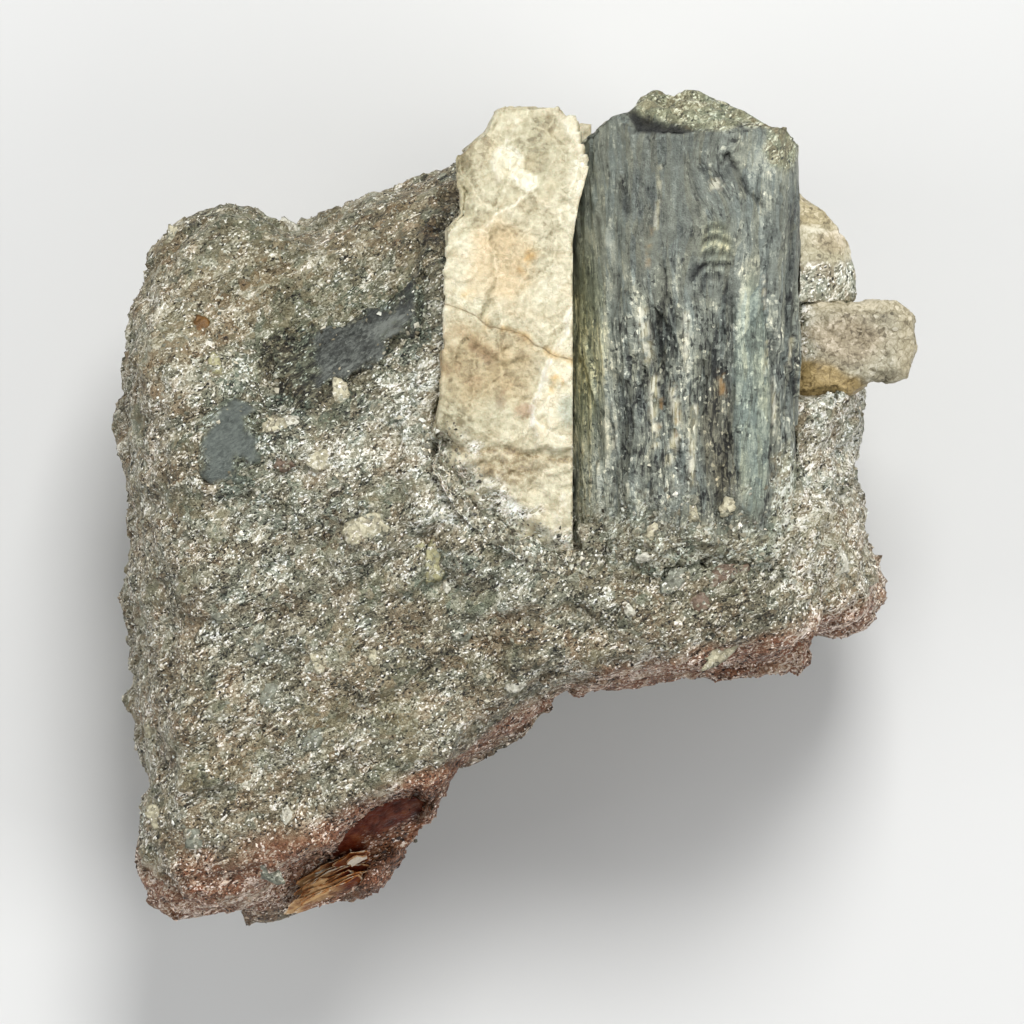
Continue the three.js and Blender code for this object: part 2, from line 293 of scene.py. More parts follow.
# The mica book's own directions: its sheets lie along the first two and are stacked up the third.
BOOK_MIDDLE = np.array((-8.0, -16.2, 14.0))
BOOK_ALONG = Vector((0.9, 0.42, 0.1)).normalized()
BOOK_ACROSS = Vector((-0.33, 0.53, 0.78)).normalized()
BOOK_AXES = np.array((BOOK_ALONG, BOOK_ACROSS, BOOK_ALONG.cross(BOOK_ACROSS)))
BOOK_SEAT = 0.9  # the schist is broken away down to this level of the book
BOOK_NOTCH = (((-6.6, -15.8), 35), ((-9.6, -18.0), 18))  # its two hollows, each (middle, turn)


def in_book_notch(x, y, *sizes):
    """1 in the two hollows, given the (radii, soft edge) of each."""
    notch = np.zeros(len(x))
    for (middle, turn), (radii, soft) in zip(BOOK_NOTCH, sizes):
        notch += blob(x, y, middle, radii, turn, soft)
    return np.clip(notch, 0, 1)


def hollowed_for_book(piece):
    """The notch, open to the front, in which the book lies bare."""
    points, _ = points_and_normals(piece)
    x, y, z = points.T
    normal = BOOK_AXES[2]
    seat = BOOK_MIDDLE[2] + (BOOK_SEAT - (points[:, :2] - BOOK_MIDDLE[:2]) @ normal[:2]) / normal[2]
    torn = 0.25 * noise_field(points, 1.0, seed=31, octaves=2)
    open_here = in_book_notch(x + torn, y + torn, ((2.75, 1.25), 0.25), ((2.4, 1.15), 0.4))
    drop = np.clip(z - seat, 0, 6) * open_here * above(z, 8, 11)
    moved(piece, -drop[:, None] * np.array((0, 0, 1.0)))


BLADE_RIM = (
    (-12.1, 6.6), (-12.2, 8.2), (-8.7, 9.6), (-5.4, 11.2),
    (-4.0, 13.4), (-4.3, 9.4), (-7.1, 7.0), (-10.2, 5.0))
GRAIN_RIM = (
    (-13.6, 6.4), (-12.9, 5.2), (-12.3, 4.0), (-12.5, 2.6),
    (-13.9, 1.5), (-15.1, 1.2), (-15.9, 2.7), (-15.0, 5.1))
RED_ACROSS = (-17.4, -14.0, -9.5, -6.7, -2.7, 5.0, 17.8)
RED_UP = (-18.9, -16.9, -15.2, -13.9, -12.3, -7.9, -4.8)


def red_zone(points, drift):
    """1 in the reddish mica under the schist's lower edge."""
    below = np.clip(FRONT_HEIGHT - points[:, 2], 0, 12)
    edge = points[:, 1] - np.interp(points[:, 0], RED_ACROSS, RED_UP) - 0.2 * below
    fade = 1 + 0.3 * below  # the red fades out more slowly, the deeper it is
    return above(edge / fade + 0.7 * drift, 0.8, -0.5) * above(points[:, 2] + 4 * drift, 4, 13)


schist = schist_lump()
for node in PROUD_NODES[:4]:
    closed_onto(schist, node_walls(node))
points, normals = points_and_normals(schist)
in_leaves = points @ np.array(TO_LEAVES).T
x, y, z = points.T
facing_up = above(normals[:, 2], 0.2, 0.8)
bare = np.maximum(depth_inside(x, y, BLADE_RIM), depth_inside(x, y, GRAIN_RIM))
bare += 0.3 * noise_field(points, 0.9, seed=9, octaves=2)
bare = above(bare, 0.0, 0.45) * above(z, 16, 18)  # 1 where a flush crystal lies bare
rise = 0.30 * noise_field(points, 0.28, seed=1, octaves=2)
rise += 0.36 * noise_field(in_leaves, (0.16, 0.7, 0.16), seed=2, octaves=2) * (0.35 + 0.65 * facing_up)
coarser = 1 + 0.6 * above(x, 13, 16) * above(y, 6, 3)
rise += 0.34 * facet_field(in_leaves, (0.42, 0.8, 0.6), seed=3, tilt=1.4) * coarser
rise += 0.18 * facet_field(in_leaves, (1.1, 2.1, 1.5), seed=4, tilt=1.2)
rise += 0.05 * noise_field(points, 1.8, seed=5)
rise *= 1 - 0.6 * above(from_path(x, y, SLAB_FOOT), 1.6, 0.6) * above(z, 19, 21)
rise -= 0.5 * np.clip(noise_field(points, 0.9, seed=6) - 0.3, 0, 1)
rise = (rise * (1 - bare) - 0.5 * bare) * (1 - 0.7 * blob(x, y, (15.2, 13.5), (2.2, 4.2), 0, 0.6))
# The sides and the back broke in larger steps than the front.
steps = facet_field(in_leaves, (0.11, 0.2, 0.13), seed=10, tilt=1.5)
steps = 1.8 * np.clip(steps + 0.25, 0, 1)
steps += 0.8 * noise_field(in_leaves, (0.11, 0.5, 0.11), seed=12, octaves=3)
rise -= steps * above(z, 14, 10) * (1 - facing_up)
off_floor = above(z, 0.1, 1.4)
moved(schist, normals * (rise * off_floor)[:, None])
hollowed_for_book(schist)

# Beside the prism's right face the schist has broken away, down to the backs of wedge and knob.
points, _ = points_and_normals(schist)
x, y, z = points.T
beside = above(x, 13.5, 13.9) * above(x, 15.7, 15.1) * above(y, 5.5, 6.3) * above(y, 17.4, 16.8)
shift = np.zeros_like(points)
shift[:, 2] = -np.clip(z - 17.6, 0, 9) * beside
shift[:, 0] = np.minimum(np.interp(y, (12.6, 13.4, 14.3, 16.0), (30, 16.3, 15.5, 13.9)) - x, 0)
moved(schist, shift)

# Where the schist differs: red-brown mica under its lower edge, brown at its upper left,
# paler at its right, and blue-grey round the crystals that fade into it.
points, normals = points_and_normals(schist)
x, y, z = points.T
drift = noise_field(points, 0.35, seed=7, octaves=3)
red = red_zone(points, drift)
painted(schist, "red", red + 0.5 * blob(x, y, (-6.2, -17.0), (2.6, 2.4)))
brown = above(y - 0.3 * x + 2.4 * drift, 10.5, 15.0) * above(x, -1, -5)
brown += 0.8 * above(x + 2 * drift, -13.5, -16.5)
brown += 0.8 * above(y - 0.25 * x + 2.4 * drift, -2.0, -5.5)
brown += 0.8 * above(x, 13, 15) * above(y + drift, 2, -1)
painted(schist, "brown", np.clip(brown, 0, 1))
pale = ovals(
    x, y, drift,
    (1.0, (-5.4, 4.8), (3.4, 1.8), 30, 1.0, (1, 0)),
    (0.8, (0.2, -0.6), (3.2, 3.4), 0, 1.0, (1, 1)),
    (1.7, (-3.4, 1.2), (1.5, 2.2), 20, 0.9, (0, 0)),
    (0.5, (-9.5, 3.0), (3.0, 1.6), 10, 1.0, (1, 1)),
    (0.5, (-7.2, 11.6), (2.6, 1.0), 25, 0.9, (0, 1)),
    (0.25, (-17.8, -7.5), (2.0, 3.4), 0, 0.5, (0, 0)),
    (0.8, (13.6, -2.6), (1.5, 2.2), 0, 0.8, (0, 0)),
    (0.6, (7.0, -4.9), (5.5, 1.5), 12, 0.9, (0, 1)),
    (0.5, (5.8, -7.6), (5.0, 1.0), 20, 0.9, (0, 1)),
    (0.8, (-13.7, -19.3), (3.6, 0.8), 15, 0.9, (0, 1)),
)
pale += 1.1 * above(x + 1.2 * drift, 13.2, 15.2) * (1 - 0.3 * above(y, 0, -3))
pale += 0.3 * above(x + drift, -14.5, -16.5)
blue = ovals(
    x, y, drift,
    (0.8, (8.6, -2.2), (6.2, 3.2), 0, 1.2, (1, 1)),
    (0.9, (-8.0, 8.6), (5.6, 3.0), 28, 0.9, (1, 0)),
    (0.8, (-14.0, 3.8), (2.6, 3.3), 0, 0.9, (1, 0)),
    (0.8, (-14.2, 14.8), (2.6, 1.5), -10, 0.9, (1, 0)),
)
painted(schist, "blue", np.clip(blue, 0, 1))
dark = ovals(
    x, y, drift,
    (1.8, (-10.9, 7.9), (1.7, 1.2), 10, 0.8, (0.6, 0)),
    (0.8, (-9.0, 4.9), (2.2, 1.0), 30, 0.9, (1, 0)),
    (0.7, (-1.9, -2.2), (1.9, 1.3), 0, 1.0, (0, 1)),
    # The next two ovals, narrow along the slab's left wall, are painted shade beside the wall.
    (0.8, (-4.0, 12.5), (0.9, 2.6), -15, 0.8, (1, 0)),
    (0.8, (-3.6, 15.0), (0.7, 2.4), -20, 0.8, (0.4, 0)),
    (0.35, (-9.0, -3.2), (4.0, 3.0), 0, 1.0, (1, 0)),
    (0.3, (-7.0, 13.6), (2.5, 1.8), 0, 0.5, (1, 0)),
    (0.8, (-3.9, -13.2), (1.7, 0.9), 30, 0.8, (0, 0.5)),
    (0.9, (-6.4, -17.8), (1.6, 1.9), 0, 0.5, (0, 0)),
    (0.2, (-9.6, -18.6), (2.4, 1.2), 15, 0.5, (0, 0)),
)
DARK_SEAM = ((-9, -9), (-1, -6.5), (5, -5.6), (12.5, -5.0))
dark += 0.6 * above(from_path(x + drift, y + drift, DARK_SEAM), 1.6, 0.0)
smooth = above(noise_field(in_leaves, (0.35, 0.55, 0.4), seed=8, octaves=3), 0.1, 0.5)
smooth += ovals(
    x, y, drift,
    (1.0, (-11.8, 14.6), (2.4, 1.2), 0, 0.8, (1, 0)),
    (1.0, (-9.6, 9.8), (3.2, 1.1), 15, 0.8, (1, 0)),
)
smooth += 0.5 * above(y - 0.3 * x + 1.2 * drift, 9.5, 13.5) * above(x, -2, -5)
schist_calm = np.clip(smooth, 0, 1)
painted(schist, "smooth", schist_calm)
folds = noise_field(in_leaves, (0.1, 0.42, 0.2), seed=33, octaves=3)
folds = 0.35 * above(folds, -0.2, -0.6) - 0.4 * above(folds, 0.2, 0.6)
schist_light = folds + np.clip(pale, 0, 1.5) - 1.3 * np.clip(dark, 0, 2)
schist_light += 0.4 * red + 0.25 * schist_calm
painted(schist, "lighter", schist_light)


def linear(red, green, blue):
    """An sRGB colour, 0 to 255, as the renderer's linear one."""
    def one(value):
        value /= 255
        return value / 12.92 if value <= 0.04045 else ((value + 0.055) / 1.055) ** 2.4
    return (one(red), one(green), one(blue), 1.0)


def add_node(tree, kind, inputs=None, **settings):
    """A shader node with its settings, and its inputs set to values or linked to sockets."""
    made = tree.nodes.new(kind)
    for key, value in settings.items():
        setattr(made, key, value)
    for key, value in (inputs or {}).items():
        if isinstance(value, bpy.types.NodeSocket):
            tree.links.new(value, made.inputs[key])
        else:
            made.inputs[key].default_value = value
    return made


def calc(tree, operation, first, second=0.0, third=0.0):
    inputs = {0: first, 1: second, 2: third}
    return add_node(tree, "ShaderNodeMath", inputs, operation=operation).outputs[0]


def summed(tree, start, *parts):
    """start + value * factor, for each (value, factor)."""
    for value, factor in parts:
        start = calc(tree, "MULTIPLY_ADD", value, factor, start)
    return start


def vector_calc(tree, operation, inputs):
    return add_node(tree, "ShaderNodeVectorMath", inputs, operation=operation).outputs[0]


def shifted(tree, where, colour, amount):
    """A place moved by a noise colour."""
    centred = vector_calc(tree, "SUBTRACT", {0: colour, 1: (0.5, 0.5, 0.5)})
    scaled = vector_calc(tree, "SCALE", {0: centred, "Scale": amount})
    return vector_calc(tree, "ADD", {0: where, 1: scaled})


def stretched(tree, where, across, along, deep):
    """A place scaled along its three axes."""
    return add_node(tree, "ShaderNodeMapping", {"Vector": where, "Scale": (across, along, deep)}).outputs[0]


def mixed(tree, amount, first, second, how="MIX"):
    inputs = {0: amount, 6: first, 7: second}
    return add_node(tree, "ShaderNodeMix", inputs, data_type="RGBA", blend_type=how).outputs[2]


def tinted(tree, amount, colour, tint):
    return mixed(tree, amount, colour, linear(*tint), "MULTIPLY")


def ramp(tree, value, stops):
    """A colour ramp: stops are (place, (red, green, blue)) in sRGB."""
    made = add_node(tree, "ShaderNodeValToRGB", {0: value})
    elements = made.color_ramp.elements
    while len(elements) < len(stops):
        elements.new(0.5)
    for element, (place, colour) in zip(elements, stops):
        element.position = place
        element.color = linear(*colour)
    return made.outputs[0]


def spread(tree, value, low, high, new_low=0.0, new_high=1.0):
    inputs = {0: value, 1: low, 2: high, 3: new_low, 4: new_high}
    return add_node(tree, "ShaderNodeMapRange", inputs).outputs[0]


def attribute(tree, name):
    return add_node(tree, "ShaderNodeAttribute", attribute_name=name).outputs["Fac"]


def in_millimetres(tree, scale=(1, 1, 1), turn=(0, 0, 0)):
    """Object coordinates in millimetres, turned and then stretched."""
    coordinates = add_node(tree, "ShaderNodeTexCoord").outputs["Object"]
    turned = add_node(tree, "ShaderNodeMapping", {"Vector": coordinates, "Rotation": turn})
    factor = tuple(s / MM for s in scale)
    return add_node(tree, "ShaderNodeMapping", {"Vector": turned.outputs[0], "Scale": factor}).outputs[0]


def noise_texture(tree, where, scale, detail=2.0, roughness=0.5):
    inputs = {"Vector": where, "Scale": scale, "Detail": detail, "Roughness": roughness}
    return add_node(tree, "ShaderNodeTexNoise", inputs).outputs


def cell_texture(tree, where, scale, feature="F1"):
    inputs = {"Vector": where, "Scale": scale}
    return add_node(tree, "ShaderNodeTexVoronoi", inputs, feature=feature).outputs


def split(tree, colour):
    return add_node(tree, "ShaderNodeSeparateColor", {0: colour}).outputs


def new_material(name):
    material = bpy.data.materials.new(name)
    material.use_nodes = True
    return material, material.node_tree, material.node_tree.nodes["Principled BSDF"]


def set_inputs(tree, shader, **inputs):
    for key, value in inputs.items():
        socket = shader.inputs[key.replace("_", " ")]
        if isinstance(value, bpy.types.NodeSocket):
            tree.links.new(value, socket)
        else:
            socket.default_value = value


def tilted(tree, colour, amount):
    """The normal turned by a random colour, so that each grain catches the light in its own way."""
    facing = add_node(tree, "ShaderNodeNewGeometry").outputs["Normal"]
    turned = shifted(tree, facing, colour, amount)
    return vector_calc(tree, "NORMALIZE", {0: turned})


def bumped(tree, height, depth_mm, normal=None):
    inputs = {"Height": height, "Distance": depth_mm * MM, "Strength": 1.0}
    if normal is not None:
        inputs["Normal"] = normal
    return add_node(tree, "ShaderNodeBump", inputs).outputs[0]


SCHIST_TONES = (
    (0.00, (30, 28, 22)),
    (0.16, (74, 70, 58)),
    (0.36, (116, 112, 96)),
    (0.52, (142, 138, 121)),
    (0.66, (170, 166, 148)),
    (0.84, (222, 218, 202)),
    (1.00, (255, 253, 247)),
)
TURN_TO_LEAVES = TO_LEAVES.to_euler()


def heavy_tailed(tree, value, core, tails):
    """A random number from 0 to 1 turned into one that is mostly near 0, and rarely far from it."""
    centred = calc(tree, "MULTIPLY_ADD", value, 2.0, -1.0)
    squared = calc(tree, "MULTIPLY", centred, centred)
    tail = calc(tree, "MULTIPLY", calc(tree, "POWER", squared, 3.0), centred)
    return summed(tree, calc(tree, "MULTIPLY", centred, core), (tail, tails))


def speckle(tree, lighter=0.0, calmer=0.0, tints=()):
    """The schist's grain: small mica and feldspar flecks, each with its own tone and tilt.

    tints are (amount, colour), and leave the brightest flecks white. The brightest flecks are partly white
    grains and partly painted glints, and the darkest partly dark mica and partly painted shadow between the
    flakes.
    """
    where = in_millimetres(tree, (0.9, 1.12, 1.0), TURN_TO_LEAVES)
    where = shifted(tree, where, noise_texture(tree, where, 0.8, 2.0)["Color"], 0.45)
    along = stretched(tree, where, 0.5, 1.35, 1.0)
    fine = cell_texture(tree, where, 10.5)
    strokes = cell_texture(tree, along, 5.0)
    grains = cell_texture(tree, where, 2.1)
    patches = cell_texture(tree, where, 0.8)
    dust = noise_texture(tree, where, 9.0, 2.0, 0.7)["Fac"]
    broad = noise_texture(tree, where, 0.45, 5.0, 0.65)["Fac"]
    fine_random, stroke_random, grain_random, patch_random = (
        split(tree, cells["Color"]) for cells in (fine, strokes, grains, patches))
    contrast = summed(tree, 0.5, (calmer, -0.5), (grain_random[2], 0.7), (patch_random[2], 0.4))
    flecks = heavy_tailed(tree, fine_random[0], 0.15, 0.52)
    dashes = heavy_tailed(tree, stroke_random[0], 0.1, 0.24)
    detail = summed(tree, flecks, (dashes, 1.0), (dust, 0.55))
    detail = calc(tree, "MULTIPLY", calc(tree, "ADD", detail, -0.275), contrast)
    tone = summed(tree, 0.06, (detail, 1.0), (grain_random[0], 0.23), (patch_random[0], 0.14))
    tone = summed(tree, tone, (broad, 0.5), (lighter, 0.15))
    colour = ramp(tree, tone, SCHIST_TONES)
    warmth = ramp(tree, summed(tree, 0.0, (patch_random[1], 0.45), (grain_random[1], 0.55)), (
        (0.12, (228, 246, 246)), (0.4, (248, 253, 244)), (0.62, (255, 250, 236)), (0.9, (255, 236, 214))))
    # The tints fade on the bright tones, so that the painted glints stay white.
    strength = spread(tree, tone, 0.48, 0.8, 1.0, 0.25)
    colour = mixed(tree, strength, colour, warmth, "MULTIPLY")
    for amount, tint in tints:
        colour = tinted(tree, calc(tree, "MULTIPLY", amount, strength), colour, tint)
    height = summed(tree, dust, (fine["Distance"], -0.7), (grains["Distance"], -0.5))
    gloss = spread(tree, fine_random[1], 0.0, 1.0, 0.26, 0.7)
    return colour, height, gloss, fine["Color"]


def schist_material():
    material, tree, shader = new_material("mica schist")
    lighter, smooth, brown, blue, red = (
        attribute(tree, name) for name in ("lighter", "smooth", "brown", "blue", "red"))
    colour, height, gloss, tilt = speckle(tree, lighter, smooth, (
        (smooth, (238, 243, 234)), (brown, (255, 240, 228)), (blue, (228, 236, 236)), (red, (255, 184, 162))))
    normal = tilted(tree, tilt, 0.6)
    set_inputs(tree, shader, Base_Color=colour, Roughness=gloss, Normal=bumped(tree, height, 0.1, normal))
    return material


def finish_piece(piece, material, slot, *nodes, smooth=True):
    """Gives a piece its material and shading, hangs it on the root body, and hides the CAD nodes that it
    stands for.
    """
    piece.data.materials.clear()
    piece.data.materials.append(material)
    piece.data.polygons.foreach_set("use_smooth", [smooth] * len(piece.data.polygons))
    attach(piece, "root")
    if nodes:
        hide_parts(*nodes)


finish_piece(schist, schist_material(), "schist", "schist_matrix")


# ---------------------------------------------------------------------------------------------
# The prism: one enstatite crystal, splintered along its length by its two cleavages, broken
# across at its top and grown into the schist at its lower end.

CRYSTAL_VOXEL = 0.135 * MM

crystal = smoothed(remeshed(new_piece("crystal", node_shape("enstatite_crystal")), CRYSTAL_VOXEL), 2)
points, normals = points_and_normals(crystal)
x, y, z = points.T
front = above(normals[:, 2], 0.15, 0.6)
ends = above(np.abs(normals[:, 1]), 0.35, 0.8)
sides = 1 - ends

# The fibres wander, and swing round a knot near the top.
KNOT_X, KNOT_Y = 9.9, 15.9
knot = np.exp(-((x - KNOT_X) / 1.5) ** 2 - ((y - KNOT_Y) / 2.2) ** 2)
bent = x + 0.35 * noise_field(points, (0.2, 0.16, 0.2), seed=14, octaves=2) + 0.5 * knot * (y - KNOT_Y)
flow = np.stack([bent, y, z], axis=1)
wide_splinters = facet_field(flow, (0.42, 0.09, 0.4), seed=11, tilt=1.3)
splinters = facet_field(flow, (1.1, 0.2, 1.0), seed=12, tilt=1.5)
slivers = facet_field(flow, (2.6, 0.5, 2.4), seed=13, tilt=1.2)
rough_end = facet_field(points, 0.9, seed=15) + 0.5 * facet_field(points, 2.0, seed=16)

# The ribs and grooves that run down the lower two thirds of the front, from left to right.
RIB_ACROSS = (4.4, 5.3, 6.2, 6.9, 7.3, 7.7, 8.4, 9.1, 9.6, 10.1, 10.6, 11.0, 12.2, 12.6, 13.2, 13.9)
RIB_HEIGHT = (0.0, -0.12, 0.16, 0.1, -0.16, 0.1, 0.34, 0.2, -0.2, -0.26, -0.08, 0.2, 0.2, -0.1, 0.1, -0.08)
ribs = np.interp(bent, RIB_ACROSS, RIB_HEIGHT) * front * above(y, 13.5, 8.0) * above(y, -2.0, 2.0)


def near(values, middle, width):
    """1 at the middle, falling smoothly to 0 at the width away from it."""
    away = np.clip(np.abs((np.asarray(values) - middle) / width), 0, 1)
    return 1 - away * away * (3 - 2 * away)


def lines(x, y, *table):
    """The sum of soft lines, each (strength, half width, its corners)."""
    total = np.zeros(len(x))
    for strength, width, *path in table:
        total += strength * near(from_path(x, y, path), 0, width)
    return total


crack = front * lines(
    x, y,
    (1.0, 0.11, (7.4, 12.4), (7.5, 10.8), (7.25, 9.6), (7.2, 8.2), (7.35, 7.0)),
    (0.8, 0.1, (7.05, 9.9), (7.15, 8.4), (7.5, 7.4)),
    (0.5, 0.12, (7.5, 10.9), (8.0, 9.2)),
    (0.6, 0.12, (6.6, 5.6), (6.75, 3.6), (6.75, 0.4)),
    (0.5, 0.12, (5.5, 6.8), (5.9, 4.4), (5.7, 2.0)),
    (0.7, 0.15, (10.5, 17.6), (11.1, 16.6), (11.5, 15.8), (12.2, 15.1)),
    (0.6, 0.13, (10.5, 17.6), (10.15, 17.1), (10.1, 16.4)),
    (0.7, 0.14, (8.8, 11.6), (9.4, 12.2)),
    (0.7, 0.12, (9.3, 11.5), (9.8, 12.1)),
    (0.5, 0.12, (13.05, 16.2), (13.1, 14.0)),
    (0.5, 0.12, (12.4, 14.8), (12.45, 11.6)),
    (0.5, 0.12, (12.75, 9.0), (12.8, 5.0), (12.7, 2.0)),
    (0.8, 0.11, (10.7, 10.6), (10.85, 6.0), (11.1, 1.2)),
    (0.5, 0.16, (4.9, 1.8), (5.0, -0.6)),
    (0.6, 0.12, (4.8, 4.4), (4.95, 3.0)),
)
# The painted shadow band: a dark band under the ledge of the broken top, pressed in a little too.
top_front = above(z, 22, 23.5) * above(normals[:, 2], -0.3, 0.3)
ragged = noise_field(points, 1.3, seed=19, octaves=3)
band_top = 19.85 - 0.24 * (x - 6)
band_up = y + 0.14 * ragged
painted_shadow_band = above(band_up, 18.6, 18.75) * above(band_up, band_top, band_top - 0.16)
painted_shadow_band *= above(x + 0.3 * ragged, 9.0, 8.2) * above(x + 0.3 * ragged, 5.7, 6.0) * top_front
cap_edge = np.interp(x, (5.9, 6.3, 8.8, 10.4, 11.2, 12.2, 14.2), (21, 19.0, 18.8, 18.8, 19.1, 18.9, 18.8))
brown_groove = blob(bent, y, (9.95, 3.3), (0.75, 3.4), 2, 0.8) * front
pale_ridge = blob(bent, y, (8.45, 8.4), (0.6, 1.8), 3, 0.8) * front
panel = blob(x, y, (11.72, 5.6), (0.95, 6.0), 1, 0.3) * front
shell = blob(x, y, (9.95, 12.9), (0.75, 1.5), 0, 0.6) * front
ARC_SPACING = 0.62
arched = y + 0.35 * (x - 9.95) ** 2 + 0.2 * noise_field(points, 1.0, seed=20)
arcs = np.sin(arched * (2 * math.pi / ARC_SPACING))
left_side = above(x, 5.6, 4.6)
upper = above(y, 8.5, 12.0)
calm = 0.75 * panel + 0.35 * left_side + 0.72 * upper + 0.5 * blob(x, y, (6.6, 15.6), (2.4, 3.4), -8, 0.8)
calm = np.clip(calm, 0, 1)
depth = (0.34 * wide_splinters + 0.26 * splinters + 0.1 * slivers) * sides * (1 - 0.7 * calm) + ribs
depth += 0.04 * noise_field(points, 1.6, seed=10) + (0.3 * rough_end + 0.3 * ragged) * ends
depth += 0.07 * arcs * shell + 0.08 * pale_ridge
depth -= 0.34 * np.clip(crack, 0, 1) + 0.06 * brown_groove + 0.14 * shell + 0.3 * painted_shadow_band
foot_rubble = above(y, 1.5, -2.0) * front
depth += foot_rubble * (0.3 * facet_field(points, 1.1, seed=9) + 0.25 * noise_field(points, 0.7, seed=8))
# relief is painted on as tone: painted shade in the grooves, and painted light on the ridges.
relief = (0.5 * wide_splinters + 0.45 * splinters + 0.25 * slivers) * (1 - 0.6 * calm) + 1.2 * ribs
shift = normals * depth[:, None]
TOP_X = (2.6, 3.3, 4.2, 5.0, 5.9, 6.4, 7.1, 7.9, 8.5, 9.2, 9.8, 11.3, 12.5, 13.3, 14.0, 14.3)
TOP_Y = (17.2, 18.0, 18.9, 19.5, 19.8, 20.5, 20.8, 20.5, 20.9, 20.8, 20.4, 19.8, 19.0, 18.9, 18.1, 17.2)
top_edge = np.interp(points[:, 0], TOP_X, TOP_Y) + 0.12 * rough_end
shift[:, 1] = np.minimum(points[:, 1] + shift[:, 1], top_edge) - points[:, 1]
right_edge = 14.06 + 0.1 * noise_field(points, (0.1, 0.35, 0.1), seed=21, octaves=2) + 0.1 * splinters
shift[:, 0] = np.minimum(points[:, 0] + shift[:, 0], right_edge) - points[:, 0]
moved(crystal, shift)

points, normals = points_and_normals(crystal)
x, y, z = points.T
grit = noise_field(points, 2.6, seed=17, octaves=2)
for axis, values in zip("xyz", flow.T):
    painted(crystal, "flow_" + axis, values)
# crack also carries the painted shadow band under the top's ledge.
painted(crystal, "crack", np.clip(crack + 1.2 * painted_shadow_band, 0, 1.15))
painted(crystal, "brown", np.clip(brown_groove + 0.3 * blob(bent, y, (6.6, 13.2), (0.25, 1.4)), 0, 1))
painted(crystal, "calm", calm)
# Painted shade and light: the material darkens the grooves and lightens the ridges by this.
painted(crystal, "relief", np.clip(relief * sides, -0.6, 0.6))
# Painted light: the steep left face, the strip at the right and the brown groove are painted lighter, where
# the lamps leave them darker.
painted_light_lift = left_side * (0.5 + 0.38 * above(y, 12, 7)) + 0.3 * above(x, 10.4, 11.2) * above(x, 14.0, 13.2)
painted(crystal, "painted_light_lift", painted_light_lift * sides + 0.1 * brown_groove)
cream = 0.7 * blob(x, y, (9.9, 16.1), (0.45, 0.35)) + front * lines(
    x, y,
    (1.0, 0.34, (6.95, 6.6), (6.85, 4.9), (7.0, 3.4)),
    (1.0, 0.4, (7.8, 6.2), (8.1, 4.2), (7.6, 2.6)),
    (1.0, 0.28, (8.9, 5.2), (8.75, 3.2), (8.8, 1.4)),
    (0.9, 0.5, (6.3, 9.9), (6.6, 7.6)),
    (0.7, 0.3, (8.5, 9.8), (8.4, 7.2)),
    (0.6, 0.14, (4.9, 5.4), (5.1, 4.0), (4.9, 2.8)),
    (1.0, 0.16, (12.45, 8.4), (12.4, 6.9)),
    (1.0, 0.17, (12.75, 6.6), (12.85, 4.0)),
    (1.0, 0.15, (13.65, 8.6), (13.6, 7.2)),
    (1.0, 0.13, (12.3, 11.6), (12.35, 10.1)),
    (0.6, 0.2, (7.2, 17.0), (7.0, 14.0)),
)
painted(crystal, "cream", np.clip(cream, 0, 1) * above(grit, -0.5, 0.1))
amber = front * lines(
    x, y,
    (1.0, 0.25, (10.2, 7.0), (10.3, 5.7)),
    (1.0, 0.14, (7.3, 5.6), (7.15, 4.2)),
    (1.0, 0.13, (8.1, 5.3), (8.0, 3.8)),
    (0.5, 0.22, (6.7, 14.0), (6.6, 12.2)),
)
painted(crystal, "amber", np.clip(amber, 0, 1) * above(grit, -0.1, 0.35))
olive = blob(x + 0.3 * ragged, y, (3.6, 8.4), (0.95, 4.6), 0, 0.8) * 0.7 + 0.6 * shell * above(y, 11.2, 13.4)
olive += 0.8 * blob(x, y, (7.4, 20.2), (2.2, 0.9)) + 0.2 * above(x, 4.4, 3.2)
painted(crystal, "olive", np.clip(olive, 0, 1))
# Soft light and dark folds, mostly in the smoother upper half: pale is painted light and shade is painted
# shade, and the shell's arcs get both.
pale = pale_ridge + 0.6 * blob(x, y, (12.0, 17.0), (1.2, 1.5), 0, 0.9)
pale = pale + 1.2 * np.clip(arcs, 0, 1) * shell + 0.9 * front * lines(
    x, y,
    (1.0, 0.3, (6.0, 18.9), (5.7, 16.7)),
    (1.0, 0.42, (4.4, 13.9), (5.2, 12.4), (5.9, 11.3), (6.2, 9.5)),
    (1.0, 0.24, (7.95, 16.9), (7.75, 14.0)),
    (1.0, 0.3, (10.1, 18.6), (10.4, 17.2)),
    (1.0, 0.3, (8.0, 12.6), (7.9, 10.6)),
    (1.0, 0.3, (9.1, 16.6), (9.6, 15.2), (9.3, 14.6)),
    (1.0, 0.4, (11.2, 13.4), (11.4, 10.5), (11.2, 7.5)),
)
painted(crystal, "pale", np.clip(pale, 0, 1.2))
shade = np.clip(-arcs, 0, 1) * shell + front * lines(
    x, y,
    (1.0, 0.32, (10.4, 17.6), (10.9, 16.9), (11.4, 15.9)),
    (1.0, 0.4, (8.7, 11.6), (9.5, 12.6)),
    (1.0, 0.4, (9.0, 10.6), (9.7, 11.8)),
    (1.0, 0.34, (9.2, 17.0), (10.2, 16.4)),
    (1.0, 0.36, (5.3, 16.2), (5.6, 14.8)),
    (1.0, 0.32, (4.0, 15.2), (4.3, 13.6)),
    (1.0, 0.36, (13.6, 15.0), (13.7, 6.0)),
)
painted(crystal, "shade", np.clip(shade, 0, 1))
painted(crystal, "panel", panel)
cap = ends * above(y, 10, 12) * (1 - top_front) + above(y + 0.2 * ragged - cap_edge, -0.1, 0.15)
cap += blob(x + 0.2 * ragged, y + 0.2 * ragged, (13.2, 18.0), (0.9, 1.2))
